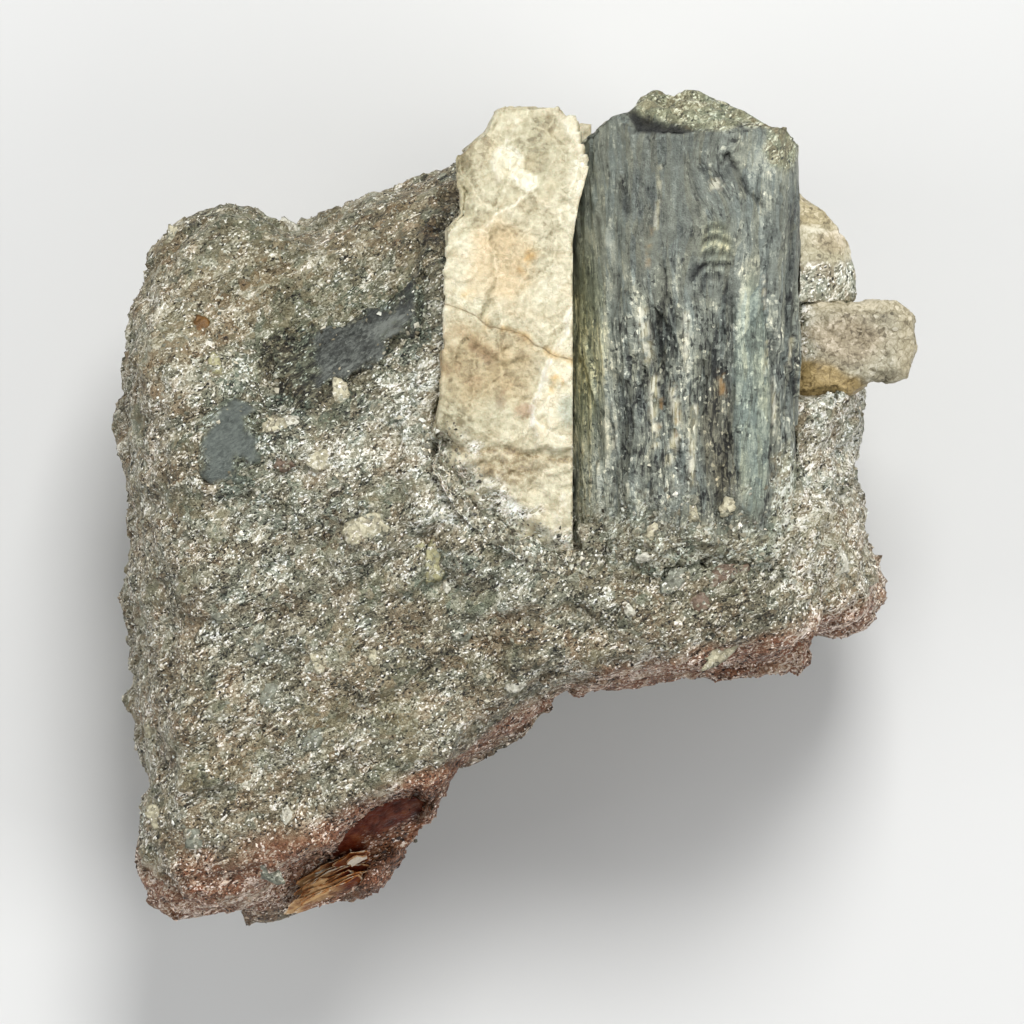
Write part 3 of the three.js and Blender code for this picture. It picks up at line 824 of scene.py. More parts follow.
painted(crystal, "cap", np.clip(cap, 0, 1))
foot = y + 1.2 * grit + 1.6 * noise_field(points, 0.6, seed=18) - 2.0 * above(x, 12.3, 13.6)
painted(crystal, "schisty", above(foot, 1.6, -2.4) * (1 + 6.0 * above(x, 12.2, 13.6)))


def coated(tree, colour, name, coat, strength=1.0):
    """The colour, covered by a coat where the piece is painted with this name."""
    return mixed(tree, calc(tree, "MULTIPLY", attribute(tree, name), strength), colour, coat)


def stained(tree, colour, name, tint, strength=1.0):
    """The colour, tinted where the piece is painted with this name."""
    return tinted(tree, calc(tree, "MULTIPLY", attribute(tree, name), strength), colour, tint)


def drawn_cells(tree, flow, across, along):
    """Long cells side by side: this many a millimetre across the fibres, and along them."""
    return cell_texture(tree, stretched(tree, flow, across, along, across), 1.0)


def crystal_material():
    material, tree, shader = new_material("enstatite")
    flow = add_node(tree, "ShaderNodeCombineXYZ", {
        0: attribute(tree, "flow_x"), 1: attribute(tree, "flow_y"), 2: attribute(tree, "flow_z")}).outputs[0]
    plain = in_millimetres(tree)
    blotches = noise_texture(tree, plain, 0.5, 4.0, 0.6)
    patches = noise_texture(tree, flow, 0.9, 3.0, 0.6)["Fac"]
    flow = shifted(tree, flow, noise_texture(tree, flow, 1.2, 2.0)["Color"], 0.12)
    strips = drawn_cells(tree, flow, 1.3, 0.24)
    fibres = drawn_cells(tree, flow, 3.6, 0.4)
    threads = drawn_cells(tree, flow, 9.0, 1.1)
    specks = drawn_cells(tree, flow, 8.0, 6.0)
    strip, fibre, thread, speck = (
        split(tree, cells["Color"]) for cells in (strips, fibres, threads, specks))
    dust = noise_texture(tree, flow, 13.0, 2.0, 0.7)["Fac"]
    mottle = noise_texture(tree, plain, 2.6, 3.0, 0.6)["Fac"]
    streaks = noise_texture(tree, stretched(tree, flow, 4.5, 0.4, 4.5), 1.0, 4.0, 0.6)["Fac"]
    panel = attribute(tree, "panel")
    rough = summed(tree, 1.1, (attribute(tree, "calm"), -0.75))
    rough = calc(tree, "ADD", rough, spread(tree, patches, 0.35, 0.65, -0.3, 0.3))
    drawn = summed(tree, -0.3, (strip[0], 0.08), (fibre[0], 0.09), (streaks, 0.44))
    # The bright tails of the threads and specks are partly pale fibres and partly painted glints.
    drawn = summed(tree, drawn, (heavy_tailed(tree, thread[0], 0.04, 0.15), 1.0))
    drawn = calc(tree, "MULTIPLY", drawn, rough)
    sprinkled = heavy_tailed(tree, speck[0], 0.06, 0.34)
    sprinkled = calc(tree, "MULTIPLY", sprinkled, rough)
    tone = summed(tree, -0.2, (drawn, 1.0), (sprinkled, 1.0), (dust, 0.32), (mottle, 0.36))
    tone = summed(tree, tone, (blotches["Fac"], 0.54))
    # relief paints shade into the grooves and light onto the ridges.
    tone = summed(tree, tone, (attribute(tree, "relief"), 0.3), (attribute(tree, "painted_light_lift"), 0.36))
    # pale and shade are painted light and painted shade on the folds.
    tone = summed(tree, tone, (panel, 0.1), (attribute(tree, "pale"), 0.17), (attribute(tree, "shade"), -0.2))
    for across, width, strength in ((2.0, 0.026, 0.3), (4.4, 0.03, 0.2)):
        along = stretched(tree, flow, across, across * 0.07, across)
        wander = noise_texture(tree, along, 1.0, 3.0, 0.55)["Fac"]
        hairline = calc(tree, "ABSOLUTE", calc(tree, "ADD", wander, -0.5))
        hairline = calc(tree, "MULTIPLY", spread(tree, hairline, 0.004, width, strength, 0.0), rough)
        tone = summed(tree, tone, (hairline, -1.0))
    colour = ramp(tree, tone, (
        (0.0, (30, 32, 30)), (0.2, (72, 75, 71)), (0.4, (112, 116, 108)),
        (0.58, (140, 146, 138)), (0.76, (188, 190, 176)), (1.0, (248, 246, 230))))
    warmth = ramp(tree, summed(tree, 0.0, (blotches["Fac"], 0.6), (fibre[1], 0.4)), (
        (0.3, (246, 252, 252)), (0.5, (254, 254, 246)), (0.72, (255, 249, 230))))
    colour = mixed(tree, 0.8, colour, warmth, "MULTIPLY")
    colour = tinted(tree, panel, colour, (246, 253, 250))
    colour = stained(tree, colour, "olive", (255, 250, 218))
    cap = attribute(tree, "cap")
    schisty = attribute(tree, "schisty")
    speckled = speckle(tree, summed(tree, 0.4, (schisty, 0.25)), calc(tree, "MULTIPLY", cap, 0.5))[0]
    granular = tinted(tree, 1.0, speckled, (250, 254, 236))
    colour = mixed(tree, calc(tree, "MULTIPLY", cap, 0.85), colour, granular)
    colour = stained(tree, colour, "brown", (242, 230, 214))
    cream = ramp(tree, thread[1], ((0.0, (90, 86, 64)), (0.35, (206, 198, 160)), (0.7, (252, 248, 224))))
    colour = coated(tree, colour, "cream", cream, 0.85)
    colour = coated(tree, colour, "amber", linear(190, 150, 92), 0.6)
    # crack darkens the cracks and the painted shadow band under the top's ledge.
    colour = coated(tree, colour, "crack", linear(28, 29, 27), 0.82)
    colour = mixed(tree, schisty, colour, tinted(tree, 1.0, speckled, (242, 246, 242)))
    height = summed(tree, dust, (thread[2], 0.5), (fibre[2], 0.7))
    normal = tilted(tree, fibres["Color"], 0.35)
    set_inputs(tree, shader, Base_Color=colour, Roughness=spread(tree, fibre[1], 0.0, 1.0, 0.3, 0.6),
               Normal=bumped(tree, height, 0.1, normal))
    return material


finish_piece(crystal, crystal_material(), "enstatite", "enstatite_crystal")


# ---------------------------------------------------------------------------------------------
# The slab: cream feldspar with a perfect cleavage, so it broke in low flat steps. Below a
# brown seam it turns grey and grades into the schist.

SLAB_VOXEL = 0.13 * MM

slab = smoothed(remeshed(new_piece("slab", node_shape("feldspar_slab")), SLAB_VOXEL), 1)
points, normals = points_and_normals(slab)
front = above(normals[:, 2], 0.2, 0.7)
x, y, z = points.T
waver = 0.22 * noise_field(points, 0.9, seed=21, octaves=2)
x = x + waver
y = y + 0.22 * noise_field(points, 0.9, seed=22, octaves=2)
torn = 0.3 * noise_field(points, 1.5, seed=29, octaves=3)
plates = facet_field(points, (0.42, 0.34, 0.05), seed=23, tilt=0.9)
small_plates = facet_field(points, (1.2, 0.9, 0.2), seed=24, tilt=0.8)
crumbs = facet_field(points, 1.9, seed=25)
SLAB_CRACK = ((-3.2, 10.3), (-2.0, 9.8), (-1.1, 9.2), (0.3, 8.75), (1.6, 8.0), (3.0, 7.45))
SLAB_SEAM = ((-3.9, 3.3), (-3.2, 3.6), (-2.3, 2.8), (-0.9, 3.1), (0.4, 2.9), (1.7, 2.7), (3.0, 2.6))
PLATE_EDGE_X = (1.0, 0.95, 0.8, 1.5, 2.0, 2.9)
PLATE_EDGE_Y = (3.2, 4.2, 5.1, 6.8, 8.2, 9.9)
bright_plate = above(x - np.interp(y, PLATE_EDGE_Y, PLATE_EDGE_X), 0, 0.14)
bright_plate *= above(y, 10.3, 9.8) * above(y, 3.0, 3.3)
diagonal = above((y - 14.3) - 0.68 * (x + 1.5), -0.06, 0.06) * above(x, 2.2, 1.0)
white_patch = blob(x, y, (-0.3, 17.2), (0.85, 0.9), 20, 0.18)
white_patch = np.maximum(white_patch, blob(x, y, (0.6, 16.3), (0.65, 0.5), -30, 0.18))
beige_top = blob(x + torn, y + torn, (1.4, 17.6), (1.7, 2.0), 0, 0.3) * (1 - white_patch)
left_strip = above(x, -1.9, -2.1) * above(y, 14.6, 14.9)
right_band = above(x, 2.5, 2.8) * above(y, 13.6, 14.6)
crack_x, crack_y = np.array(SLAB_CRACK).T
over_crack = y - 0.5 * waver - np.interp(x, crack_x, crack_y)
crack = 0.6 * near(over_crack, 0, 0.14) + lines(
    x, y,
    (0.6, 0.08, (3.2, 13.0), (2.0, 12.9)),
    (0.6, 0.08, (3.2, 11.2), (2.4, 11.3)),
    (0.8, 0.1, (0.2, 5.2), (0.4, 5.6), (0.9, 5.7), (1.0, 5.2), (0.6, 4.6), (-0.1, 4.8)),
    (0.35, 0.09, (-3.2, 6.2), (-2.2, 4.9)),
    (0.35, 0.09, (-2.9, 6.2), (-1.5, 4.7)),
    (0.35, 0.09, (-2.5, 6.2), (-1.3, 5.2)),
    (0.35, 0.09, (-2.1, 6.1), (-1.0, 5.6)),
)
seam = lines(x, y, (1.0, 0.28, *SLAB_SEAM))
base = above(y, 3.1, 2.5)
relief = 0.2 * plates + 0.12 * small_plates + 0.36 * bright_plate - 0.2 * diagonal * (1 - beige_top)
relief += 0.18 * white_patch - 0.1 * beige_top - 0.04 * left_strip + 0.1 * right_band
relief += 0.16 * crumbs * np.clip(base + left_strip, 0, 1)
relief -= 0.14 * np.clip(crack, 0, 1) + 0.22 * seam * np.clip(0.6 + 0.8 * waver, 0, 1)
cleaved_walls = 0.1 * crumbs + 0.4 * facet_field(points, (0.5, 0.4, 0.22), seed=30, tilt=0.9)
relief = relief * front + cleaved_walls * (1 - front) * above(points[:, 1], -1, 3)
from_foot = from_path(x, y, SLAB_FOOT) + 0.5 * noise_field(points, 0.8, seed=27, octaves=2)
sink = above(from_foot, 1.7, 0.0) * front * above(y, 4.8, 3.4)
# The foot's walls stand out, so that it reaches into the schist.
relief += 0.4 * above(from_foot, 1.2, 0.5) * (1 - front) * above(y, 2.8, 2.2)
shift = normals * relief[:, None] - np.array((0, 0, 1.0)) * (1.15 * sink)[:, None]
RIGHT_EDGE_Y = (-3.0, 13.4, 15.0, 17.0, 19.4, 20.5)
RIGHT_EDGE_X = (2.9, 2.9, 3.15, 3.7, 3.9, 3.4)
right_edge = np.interp(points[:, 1], RIGHT_EDGE_Y, RIGHT_EDGE_X) + 0.04 * crumbs
shift[:, 0] = np.minimum(points[:, 0] + shift[:, 0], right_edge) - points[:, 0]
moved(slab, shift)

# The plates' edges that face up and left, towards the key light, get a painted highlight, and those that face
# away get painted shade.
_, normals = points_and_normals(slab)
edge_light = (1.3 * normals[:, 1] - 1.5 * normals[:, 0]) * front * above(points[:, 2], 20, 22)
painted_highlight_edges = np.clip(edge_light - 0.3, 0, 1)
painted_shade_edges = np.clip(-edge_light - 0.3, 0, 1)

mottle = noise_field(points, 1.1, seed=26, octaves=3)
painted(slab, "crack", np.clip(crack * front, 0, 1))
painted(slab, "over_crack", over_crack)
# The seam gets a painted shadow below it, in the seam's colours.
painted(slab, "seam", np.clip(seam + 0.8 * blob(x, y, (-0.2, 2.1), (1.5, 0.7), 0, 0.9), 0, 1) * front)
lower_left = blob(x + torn, y + torn, (-1.7, 6.4), (2.2, 2.8), 0, 0.9)
# grey also carries the painted shade on the edges that face away from the key light.
grey = 0.9 * left_strip + 0.75 * beige_top + 0.5 * diagonal + 0.8 * lower_left + painted_shade_edges
painted(slab, "grey", np.clip(grey, 0, 1.8))
peach = blob(x, y, (-0.6, 12.4), (1.5, 2.0), 10, 1.1) + 0.9 * blob(x, y, (-2.2, 7.4), (1.6, 1.9), 0, 1.0)
peach += 0.8 * blob(x, y, (0.0, 7.2), (1.1, 1.6), 0, 1.0)
painted(slab, "peach", np.clip(peach + 0.4 * mottle, 0, 1))
orange = blob(x, y, (0.7, 12.0), (0.35, 0.95), -15, 0.9) + blob(x, y, (-2.6, 10.6), (0.7, 0.55), 20, 0.9)
orange += blob(x, y, (2.1, 6.3), (0.38, 0.5), -20, 0.5) + 0.8 * blob(x, y, (2.6, -1.8), (0.4, 0.4), 0, 0.8)
orange += lines(x, y, (0.7, 0.35, *SLAB_CRACK))
painted(slab, "orange", np.clip(orange * above(mottle, -0.4, 0.5), 0, 1))
# Painted highlights along two plate edges: the diagonal step and the bright plate's left edge.
painted_highlight_lines = lines(
    x, y,
    (1.0, 0.09, (1.15, 16.0), (-1.5, 14.3)),
    (1.0, 0.09, (2.9, 9.9), (2.0, 8.2), (1.5, 6.8), (0.8, 5.1), (0.95, 4.2)),
)
# white is whiter rock, with the painted highlights along the plate edges and on the edges that face the key
# light.
white = 1.2 * white_patch + 0.7 * right_band + 0.8 * bright_plate + 1.4 * painted_highlight_lines + 1.1 * painted_highlight_edges
painted(slab, "white", np.clip(white, 0, 1.8))
painted(slab, "bluish", blob(x, y, (2.7, 5.1), (0.55, 0.75), 0, 0.7))
mauve = 0.8 * blob(x + torn, y + torn, (-2.3, 7.6), (1.3, 1.3), 0, 1.0) * above(mottle, -0.2, 0.5)
mauve += blob(x + torn, y + torn, (0.45, 5.0), (0.45, 0.4), 0, 0.5)
mauve += 0.6 * blob(x + torn, y, (-0.6, 5.6), (0.3, 0.5))
painted(slab, "mauve", np.clip(mauve, 0, 1))
ragged = noise_field(points, 0.7, seed=28, octaves=3)
painted(slab, "schisty", above(from_foot + 1.9 * ragged, 2.2, 0.4) * above(y, 4.6, 3.4))


def slab_material():
    material, tree, shader = new_material("cream feldspar")
    plain = in_millimetres(tree)
    clouds = noise_texture(tree, plain, 0.5, 5.0, 0.65)["Fac"]
    mottle = noise_texture(tree, plain, 3.0, 4.0, 0.7)["Fac"]
    grit = cell_texture(tree, plain, 5.5)
    random = split(tree, grit["Color"])
    wandering = noise_texture(tree, plain, 0.4, 4.0, 0.6)
    veins = calc(tree, "ABSOLUTE", calc(tree, "ADD", wandering["Fac"], -0.5))
    hairlines = calc(tree, "ABSOLUTE", calc(tree, "ADD", split(tree, wandering["Color"])[1], -0.48))
    grey = attribute(tree, "grey")
    white = attribute(tree, "white")
    tone = summed(tree, -0.46, (clouds, 0.56), (mottle, 0.56), (random[0], 0.19))
    # white adds the painted highlights as well as whiter rock, and grey the painted shade on edges that face
    # away.
    tone = summed(tree, tone, (white, 0.26), (grey, -0.12))
    # The edges of the cleavage plates: a bright rim that is a painted highlight, and below it a dull line of
    # painted shade.
    bent = shifted(tree, plain, noise_texture(tree, plain, 1.3, 4.0, 0.65)["Color"], 1.0)
    for count, strength in ((0.45, 1.0), (1.2, 0.6)):
        flat = stretched(tree, bent, count, count * 0.8, count * 0.15)
        plates = split(tree, cell_texture(tree, flat, 1.0)["Color"])
        edge = cell_texture(tree, flat, 1.0, "DISTANCE_TO_EDGE")["Distance"]
        reach = 0.05 * count / 0.45
        painted_highlight_rim = spread(tree, edge, 0.0, reach, 0.2, 0.0)
        painted_shade_line = spread(tree, edge, reach, 3 * reach, 0.08, 0.0)
        tone = summed(tree, tone, (plates[0], 0.2 * strength), (painted_highlight_rim, strength), (painted_shade_line, -strength))
    colour = ramp(tree, tone, (
        (0.0, (140, 130, 100)), (0.25, (190, 182, 152)), (0.5, (217, 210, 181)),
        (0.72, (234, 229, 206)), (1.0, (250, 248, 236))))
    colour = tinted(tree, grey, colour, (232, 232, 226))
    colour = stained(tree, colour, "peach", (252, 232, 210), 0.8)
    colour = stained(tree, colour, "bluish", (214, 222, 226))
    colour = stained(tree, colour, "orange", (246, 216, 164))
    colour = stained(tree, colour, "mauve", (218, 202, 196))
    colour = mixed(tree, spread(tree, veins, 0.0, 0.0035, 0.5, 0.0), colour, linear(176, 160, 122))
    colour = mixed(tree, spread(tree, hairlines, 0.0, 0.003, 0.45, 0.0), colour, linear(158, 140, 104))
    seam_colour = ramp(tree, mottle, ((0.36, (92, 72, 44)), (0.5, (150, 128, 88)), (0.62, (206, 194, 162))))
    colour = coated(tree, colour, "seam", seam_colour, 0.8)
    colour = coated(tree, colour, "crack", linear(150, 124, 80), 0.4)
    from_crack = calc(tree, "ABSOLUTE", attribute(tree, "over_crack"))
    thin = spread(tree, from_crack, 0.0, 0.065, 1.0, 0.0)
    thin = calc(tree, "MULTIPLY", thin, spread(tree, mottle, 0.35, 0.6, 0.25, 0.9))
    colour = mixed(tree, thin, colour, linear(104, 86, 50))
    colour = coated(tree, colour, "schisty", speckle(tree, 2.0)[0])
    height = summed(tree, clouds, (mottle, 0.6), (spread(tree, veins, 0.0, 0.004, -0.1, 0.0), 1.0))
    normal = tilted(tree, grit["Color"], 0.14)
    set_inputs(tree, shader, Base_Color=colour, Roughness=spread(tree, mottle, 0.3, 0.7, 0.34, 0.6),
               Normal=bumped(tree, height, 0.14, normal))
    set_inputs(tree, shader, Subsurface_Weight=0.06, Subsurface_Scale=0.5 * MM)
    return material


finish_piece(slab, slab_material(), "feldspar", "feldspar_slab")


# ---------------------------------------------------------------------------------------------
# The wedge and the knob: two smaller feldspars at the prism's right, the knob finely granular
# and amber where it is thin, at its lower left.

GRANULAR_VOXEL = 0.115 * MM


def granular_material(name, dark, middle, light):
    material, tree, shader = new_material(name)
    plain = in_millimetres(tree)
    clouds = noise_texture(tree, plain, 0.9, 4.0, 0.65)["Fac"]
    dust = noise_texture(tree, plain, 7.0, 3.0, 0.7)["Fac"]
    where = shifted(tree, plain, noise_texture(tree, plain, 2.0, 2.0)["Color"], 0.4)
    crumbs = cell_texture(tree, where, 5.5)
    joints = cell_texture(tree, where, 2.2, "DISTANCE_TO_EDGE")["Distance"]
    random = split(tree, crumbs["Color"])
    grains = heavy_tailed(tree, random[0], 0.07, 0.2)
    between = spread(tree, joints, 0.0, 0.09, 0.17, 0.0)
    tone = summed(tree, -0.1, (clouds, 0.75), (dust, 0.55), (grains, 1.0))
    tone = summed(tree, tone, (between, -1.0), (attribute(tree, "white"), 0.3))
    darkest = tuple(v * 0.6 for v in dark)
    colour = ramp(tree, tone, ((0.0, darkest), (0.3, dark), (0.55, middle), (0.85, light)))
    colour = stained(tree, colour, "pink", (254, 245, 240))
    colour = stained(tree, colour, "amber", (230, 206, 156))
    colour = coated(tree, colour, "schisty", speckle(tree, 1.0)[0])
    height = summed(tree, clouds, (dust, 0.5), (random[1], 0.1))
    normal = tilted(tree, crumbs["Color"], 0.14)
    set_inputs(tree, shader, Base_Color=colour, Roughness=0.5, Normal=bumped(tree, height, 0.1, normal))
    return material


def granular_piece(name, node, seed, lumpiness):
    """A grown-together feldspar, drawn out to the left so that it meets the prism's face."""
    piece = smoothed(remeshed(new_piece(name, node_shape(node)), GRANULAR_VOXEL), 3)
    points, normals = points_and_normals(piece)
    rise = lumpiness * noise_field(points, 0.6, seed=seed, octaves=2)
    rise += 0.16 * facet_field(points, 0.9, seed=seed + 1) + 0.07 * facet_field(points, 2.4, seed=seed + 2)
    shift = normals * rise[:, None]
    shift[:, 0] -= 0.65 * above(points[:, 0], 15.6, 14.8)
    return piece, points, shift


wedge, points, shift = granular_piece("wedge", "feldspar_wedge", 31, 0.2)
x, y, _ = points.T
rag = 0.25 * noise_field(points, 1.2, seed=33, octaves=2)
lower_lump = above(y + 0.15 * (x - 15) + 0.5 * rag, 14.25, 14.1)
shift[:, 2] += 0.3 * lower_lump * above(points[:, 2], 16, 17.5)
shift[:, 1] -= 0.75 * above(y, 12.6, 11.3)
moved(wedge, shift)
painted(wedge, "amber", 0.35 * above(y, 13.9, 14.6))
painted(wedge, "pink", 0.8 * blob(x, y, (16.0, 13.5), (0.8, 0.6), 0, 0.8))
painted(wedge, "white", near(y + 0.15 * (x - 15) + 0.5 * rag, 14.1, 0.16) + 0.5 * above(x, 16.2, 16.8))
painted(wedge, "schisty", above(y + rag, 12.6, 12.3))
finish_piece(wedge, granular_material("tan feldspar", (138, 130, 104), (184, 176, 146), (226, 220, 198)),
             "feldspar", "feldspar_wedge")

knob, points, shift = granular_piece("knob", "feldspar_knob", 34, 0.12)
moved(knob, shift)
x, y, _ = points.T
rag = 0.4 * noise_field(points, 0.9, seed=36, octaves=2)
amber = above(y + 0.45 * (x - 15) + rag, 7.9, 7.2)
rim = np.maximum(above(x, 18.6, 19.5), above(y, 9.6, 10.3))
painted(knob, "amber", np.clip(0.95 * amber + 0.25 * rim, 0, 1))
painted(knob, "pink", np.clip(blob(x + rag, y, (16.6, 8.6), (1.8, 1.2), 0, 0.8), 0, 1))
# Its top edge is painted whiter: a painted highlight where the light from above falls.
painted(knob, "white", 0.5 * above(y, 9.9, 10.3) + 0.3 * blob(x, y, (15.9, 9.4), (0.7, 0.5)))
painted(knob, "schisty", above(x + 0.8 * rag, 15.3, 14.9) * above(y, 7.4, 8.0))
finish_piece(knob, granular_material("grey feldspar", (124, 116, 94), (170, 163, 138), (214, 208, 188)),
             "feldspar", "feldspar_knob")


# ---------------------------------------------------------------------------------------------
# The blade and the flat grain: two smaller enstatites, broken off level with the schist. Their
# rims dip under it, so that its grains close over them raggedly.

FLUSH_VOXEL = 0.135 * MM


def flush_material(name, dark, middle, light, granular):
    material, tree, shader = new_material(name)
    drawn = in_millimetres(tree, (0.8, 1.5, 0.8), (0, 0, -LEAF_RISE))
    clouds = noise_texture(tree, drawn, 0.7, 5.0, 0.65)["Fac"]
    grit = noise_texture(tree, drawn, 5.5, 4.0, 0.72)["Fac"]
    specks = cell_texture(tree, drawn, 4.5)
    random = split(tree, specks["Color"])
    tone = summed(tree, -0.61, (grit, 1.1), (clouds, 0.76), (random[0], 0.24))
    tone = summed(tree, tone, (attribute(tree, "smear"), 0.4))
    colour = ramp(tree, tone, ((0.1, dark), (0.4, middle), (0.7, light)))
    speckled = tinted(tree, 1.0, speckle(tree, granular)[0], (222, 232, 230))
    colour = coated(tree, colour, "schisty", speckled)
    normal = tilted(tree, specks["Color"], 0.22)
    set_inputs(tree, shader, Base_Color=colour, Roughness=0.45, Normal=bumped(tree, grit, 0.16, normal))
    return material


def flush_piece(name, node, rim, seed, crumbled):
    """crumbled is the place across, to the left of which its surface has broken into grains."""
    piece = smoothed(remeshed(new_piece(name, node_shape(node)), FLUSH_VOXEL), 3)
    points, normals = points_and_normals(piece)
    front = above(normals[:, 2], 0.0, 0.5)
    x, y, _ = points.T
    inwards = depth_inside(x, y, rim) + 0.7 * noise_field(points, 0.8, seed=seed, octaves=4)
    rise = 0.2 + 0.14 * facet_field(points, 0.8, seed=seed + 1)
    rise += 0.06 * facet_field(points, 2.0, seed=seed + 2)
    shift = normals * (rise * front)[:, None]
    shift[:, 2] -= 0.45 * above(inwards, 0.35, -0.1) * front
    coarse = above(x + 0.8 * noise_field(points, 1.0, seed=seed + 2), crumbled, crumbled - 0.5)
    moved(piece, shift)
    painted(piece, "schisty", np.maximum(above(inwards, 0.65, 0.2), coarse))
    smear = blob(x, y, (-6.0, 9.1), (0.9, 0.4), 20, 0.9) - 0.6 * blob(x, y, (-5.3, 10.7), (1.6, 0.6), 30, 0.9)
    painted(piece, "smear", smear)
    return piece


blade = flush_piece("blade", "enstatite_blade", BLADE_RIM, 41, -9.3)
finish_piece(blade, flush_material("dark enstatite", (36, 38, 35), (70, 73, 68), (122, 126, 118), -1.8),
             "enstatite", "enstatite_blade")
grain = flush_piece("flat_grain", "enstatite_grain", GRAIN_RIM, 44, -99)
finish_piece(grain, flush_material("dull enstatite", (72, 77, 73), (90, 96, 90), (114, 121, 113), -0.5),
             "enstatite", "enstatite_grain")


# ---------------------------------------------------------------------------------------------
# The mica book: phlogopite in thin bent sheets, brown and glossy, split apart at their edges.
# The outer sheets are torn off lower down, so that their edges show in a stair.

SHEETS = 30
SHEET_SEGMENTS = 40
SHEET_CORNERS = 13
SHEET_RINGS = (0.3, 0.6, 0.85, 1.0)
SHEET_LEVELS = (-0.4, 1.85)  # of the innermost and the outermost
BOOK_TURN = Matrix(BOOK_AXES.tolist()).to_euler()
LENS_SHARE = 0.6  # how many of the sheets run up to the book's top, behind its bare brown face


def mica_sheet(shape, rng, level, thickness, reach, top_edge, middle, ragged):
    """One closed sheet with a broken outline: two faces of rings, joined round the rim."""
    corner_angles = np.arange(SHEET_CORNERS) + rng.uniform(-0.35, 0.35, SHEET_CORNERS)
    corner_angles *= 2 * math.pi / SHEET_CORNERS
    corners = np.stack([np.cos(corner_angles), np.sin(corner_angles)], axis=1)
    corners *= 1 + rng.uniform(-ragged, 0.3 * ragged, (SHEET_CORNERS, 1))
    round_it = np.linspace(0, SHEET_CORNERS, SHEET_SEGMENTS, endpoint=False)
    before, share = round_it.astype(int), (round_it % 1)[:, None]
    outline = corners[before] * (1 - share) + corners[(before + 1) % SHEET_CORNERS] * share
    outline += 0.02 * rng.standard_normal((SHEET_SEGMENTS, 2))
    top_break = rng.uniform(-0.3, 0.3, 12) * ragged
    bend = rng.uniform(-0.1, 0.2)
    along_tilt, across_tilt = 0.15 * ragged * rng.uniform(-1, 1, 2)
    rows = []
    for side, rings in ((0, SHEET_RINGS), (1, SHEET_RINGS[::-1])):
        for ring in rings:
            u = ring * reach[0] * outline[:, 0] + middle[0]
            v = ring * reach[1] * outline[:, 1] + middle[1]
            sagging = top_edge + 0.07 * (u + 1.6) ** 2 + np.interp(u, np.linspace(-4.5, 1.5, 12), top_break)
            v = np.minimum(v, sagging)
            w = level + side * thickness + bend * (u / 3.9) ** 2
            w = w + along_tilt * (u - middle[0]) + across_tilt * (v - middle[1])
            w = w + 0.08 * np.sin(u * 0.9 + level) + 0.05 * np.sin(v * 2 + level * 5)
            places = (np.stack([u, v, w], axis=1) @ BOOK_AXES + BOOK_MIDDLE) * MM
            rows.append([shape.verts.new(place) for place in places])
    for n in range(SHEET_SEGMENTS):
        after = (n + 1) % SHEET_SEGMENTS
        for inner, outer in zip(rows, rows[1:]):
            shape.faces.new((inner[n], inner[after], outer[after], outer[n]))
    shape.faces.new(rows[0][::-1])
    shape.faces.new(rows[-1])


# The loose shards on its front, each (level, reach, middle, tone).
SHARDS = (
    (1.25, (1.3, 0.5), (-0.5, 0.3), 0.6),
    (1.45, (0.65, 0.36), (-0.15, 0.3), 2.1),
    (1.5, (0.5, 0.2), (-2.4, -0.05), 1.1),
    (1.95, (1.1, 0.1), (-2.8, -0.5), 1.5),
)


def mica_book():
    rng = np.random.default_rng(5)
    shape = bmesh.new()
    low, high = SHEET_LEVELS
    for n in range(SHEETS):
        t = n / (SHEETS - 1)
        outer = max(0.0, (t - LENS_SHARE) / (1 - LENS_SHARE))  # 0 for the whole sheets, up to 1
        thickness = rng.uniform(0.03, 0.06)
        if outer:
            top_edge = 0.5 - 1.1 * outer + rng.uniform(-0.1, 0.1)
            reach = (rng.uniform(1.8, 2.4), 1.2 - 0.35 * outer)
            middle = (-1.3 - 1.1 * outer + rng.uniform(-0.25, 0.25), -0.6 - 0.35 * outer)
            mica_sheet(shape, rng, low + (high - low) * t, thickness, reach, top_edge, middle, 0.4)
        else:
            reach = (3.9 + rng.uniform(-0.2, 0.1), 2.7 + rng.uniform(-0.1, 0.1))
            mica_sheet(shape, rng, low + (high - low) * t, thickness, reach, 9.0, (0.4, 1.15), 0.1)
    for level, reach, middle, _ in SHARDS:
        mica_sheet(shape, rng, level, 0.1, reach, 9.0, middle, 0.5)
    bmesh.ops.recalc_face_normals(shape, faces=shape.faces)
    return new_piece("mica_book", shape)


book = mica_book()
rows_per_sheet = 2 * len(SHEET_RINGS)
outer_sheets = np.arange(SHEETS + len(SHARDS)) > LENS_SHARE * SHEETS
tones = np.random.default_rng(7).choice((0.1, 0.3, 0.5, 0.8, 1.2), SHEETS)
tones = np.where(outer_sheets[:SHEETS], tones, 0.2)
tones = np.append(tones, [shard[3] for shard in SHARDS])
painted(book, "tone", np.repeat(tones, SHEET_SEGMENTS * rows_per_sheet))
rim_rows = np.zeros((rows_per_sheet, SHEET_SEGMENTS))
rim_rows[len(SHEET_RINGS) - 1:len(SHEET_RINGS) + 1] = 1.0
painted(book, "rim", (rim_rows.ravel()[None] * outer_sheets[:, None]).ravel())


def book_grit(points):
    """1 where the book is covered in grains: at its right, and along its foot."""
    along, across, _ = ((points - BOOK_MIDDLE) @ BOOK_AXES.T).T
    torn = 0.5 * noise_field(points, 1.2, seed=32, octaves=2)
    at_right = above(along + torn, 0.1, 0.9) * above(across, 0.9, 0.3)
    return np.maximum(at_right, above(across + 0.07 * (along + 1.6) ** 2 + torn, -0.8, -1.1))


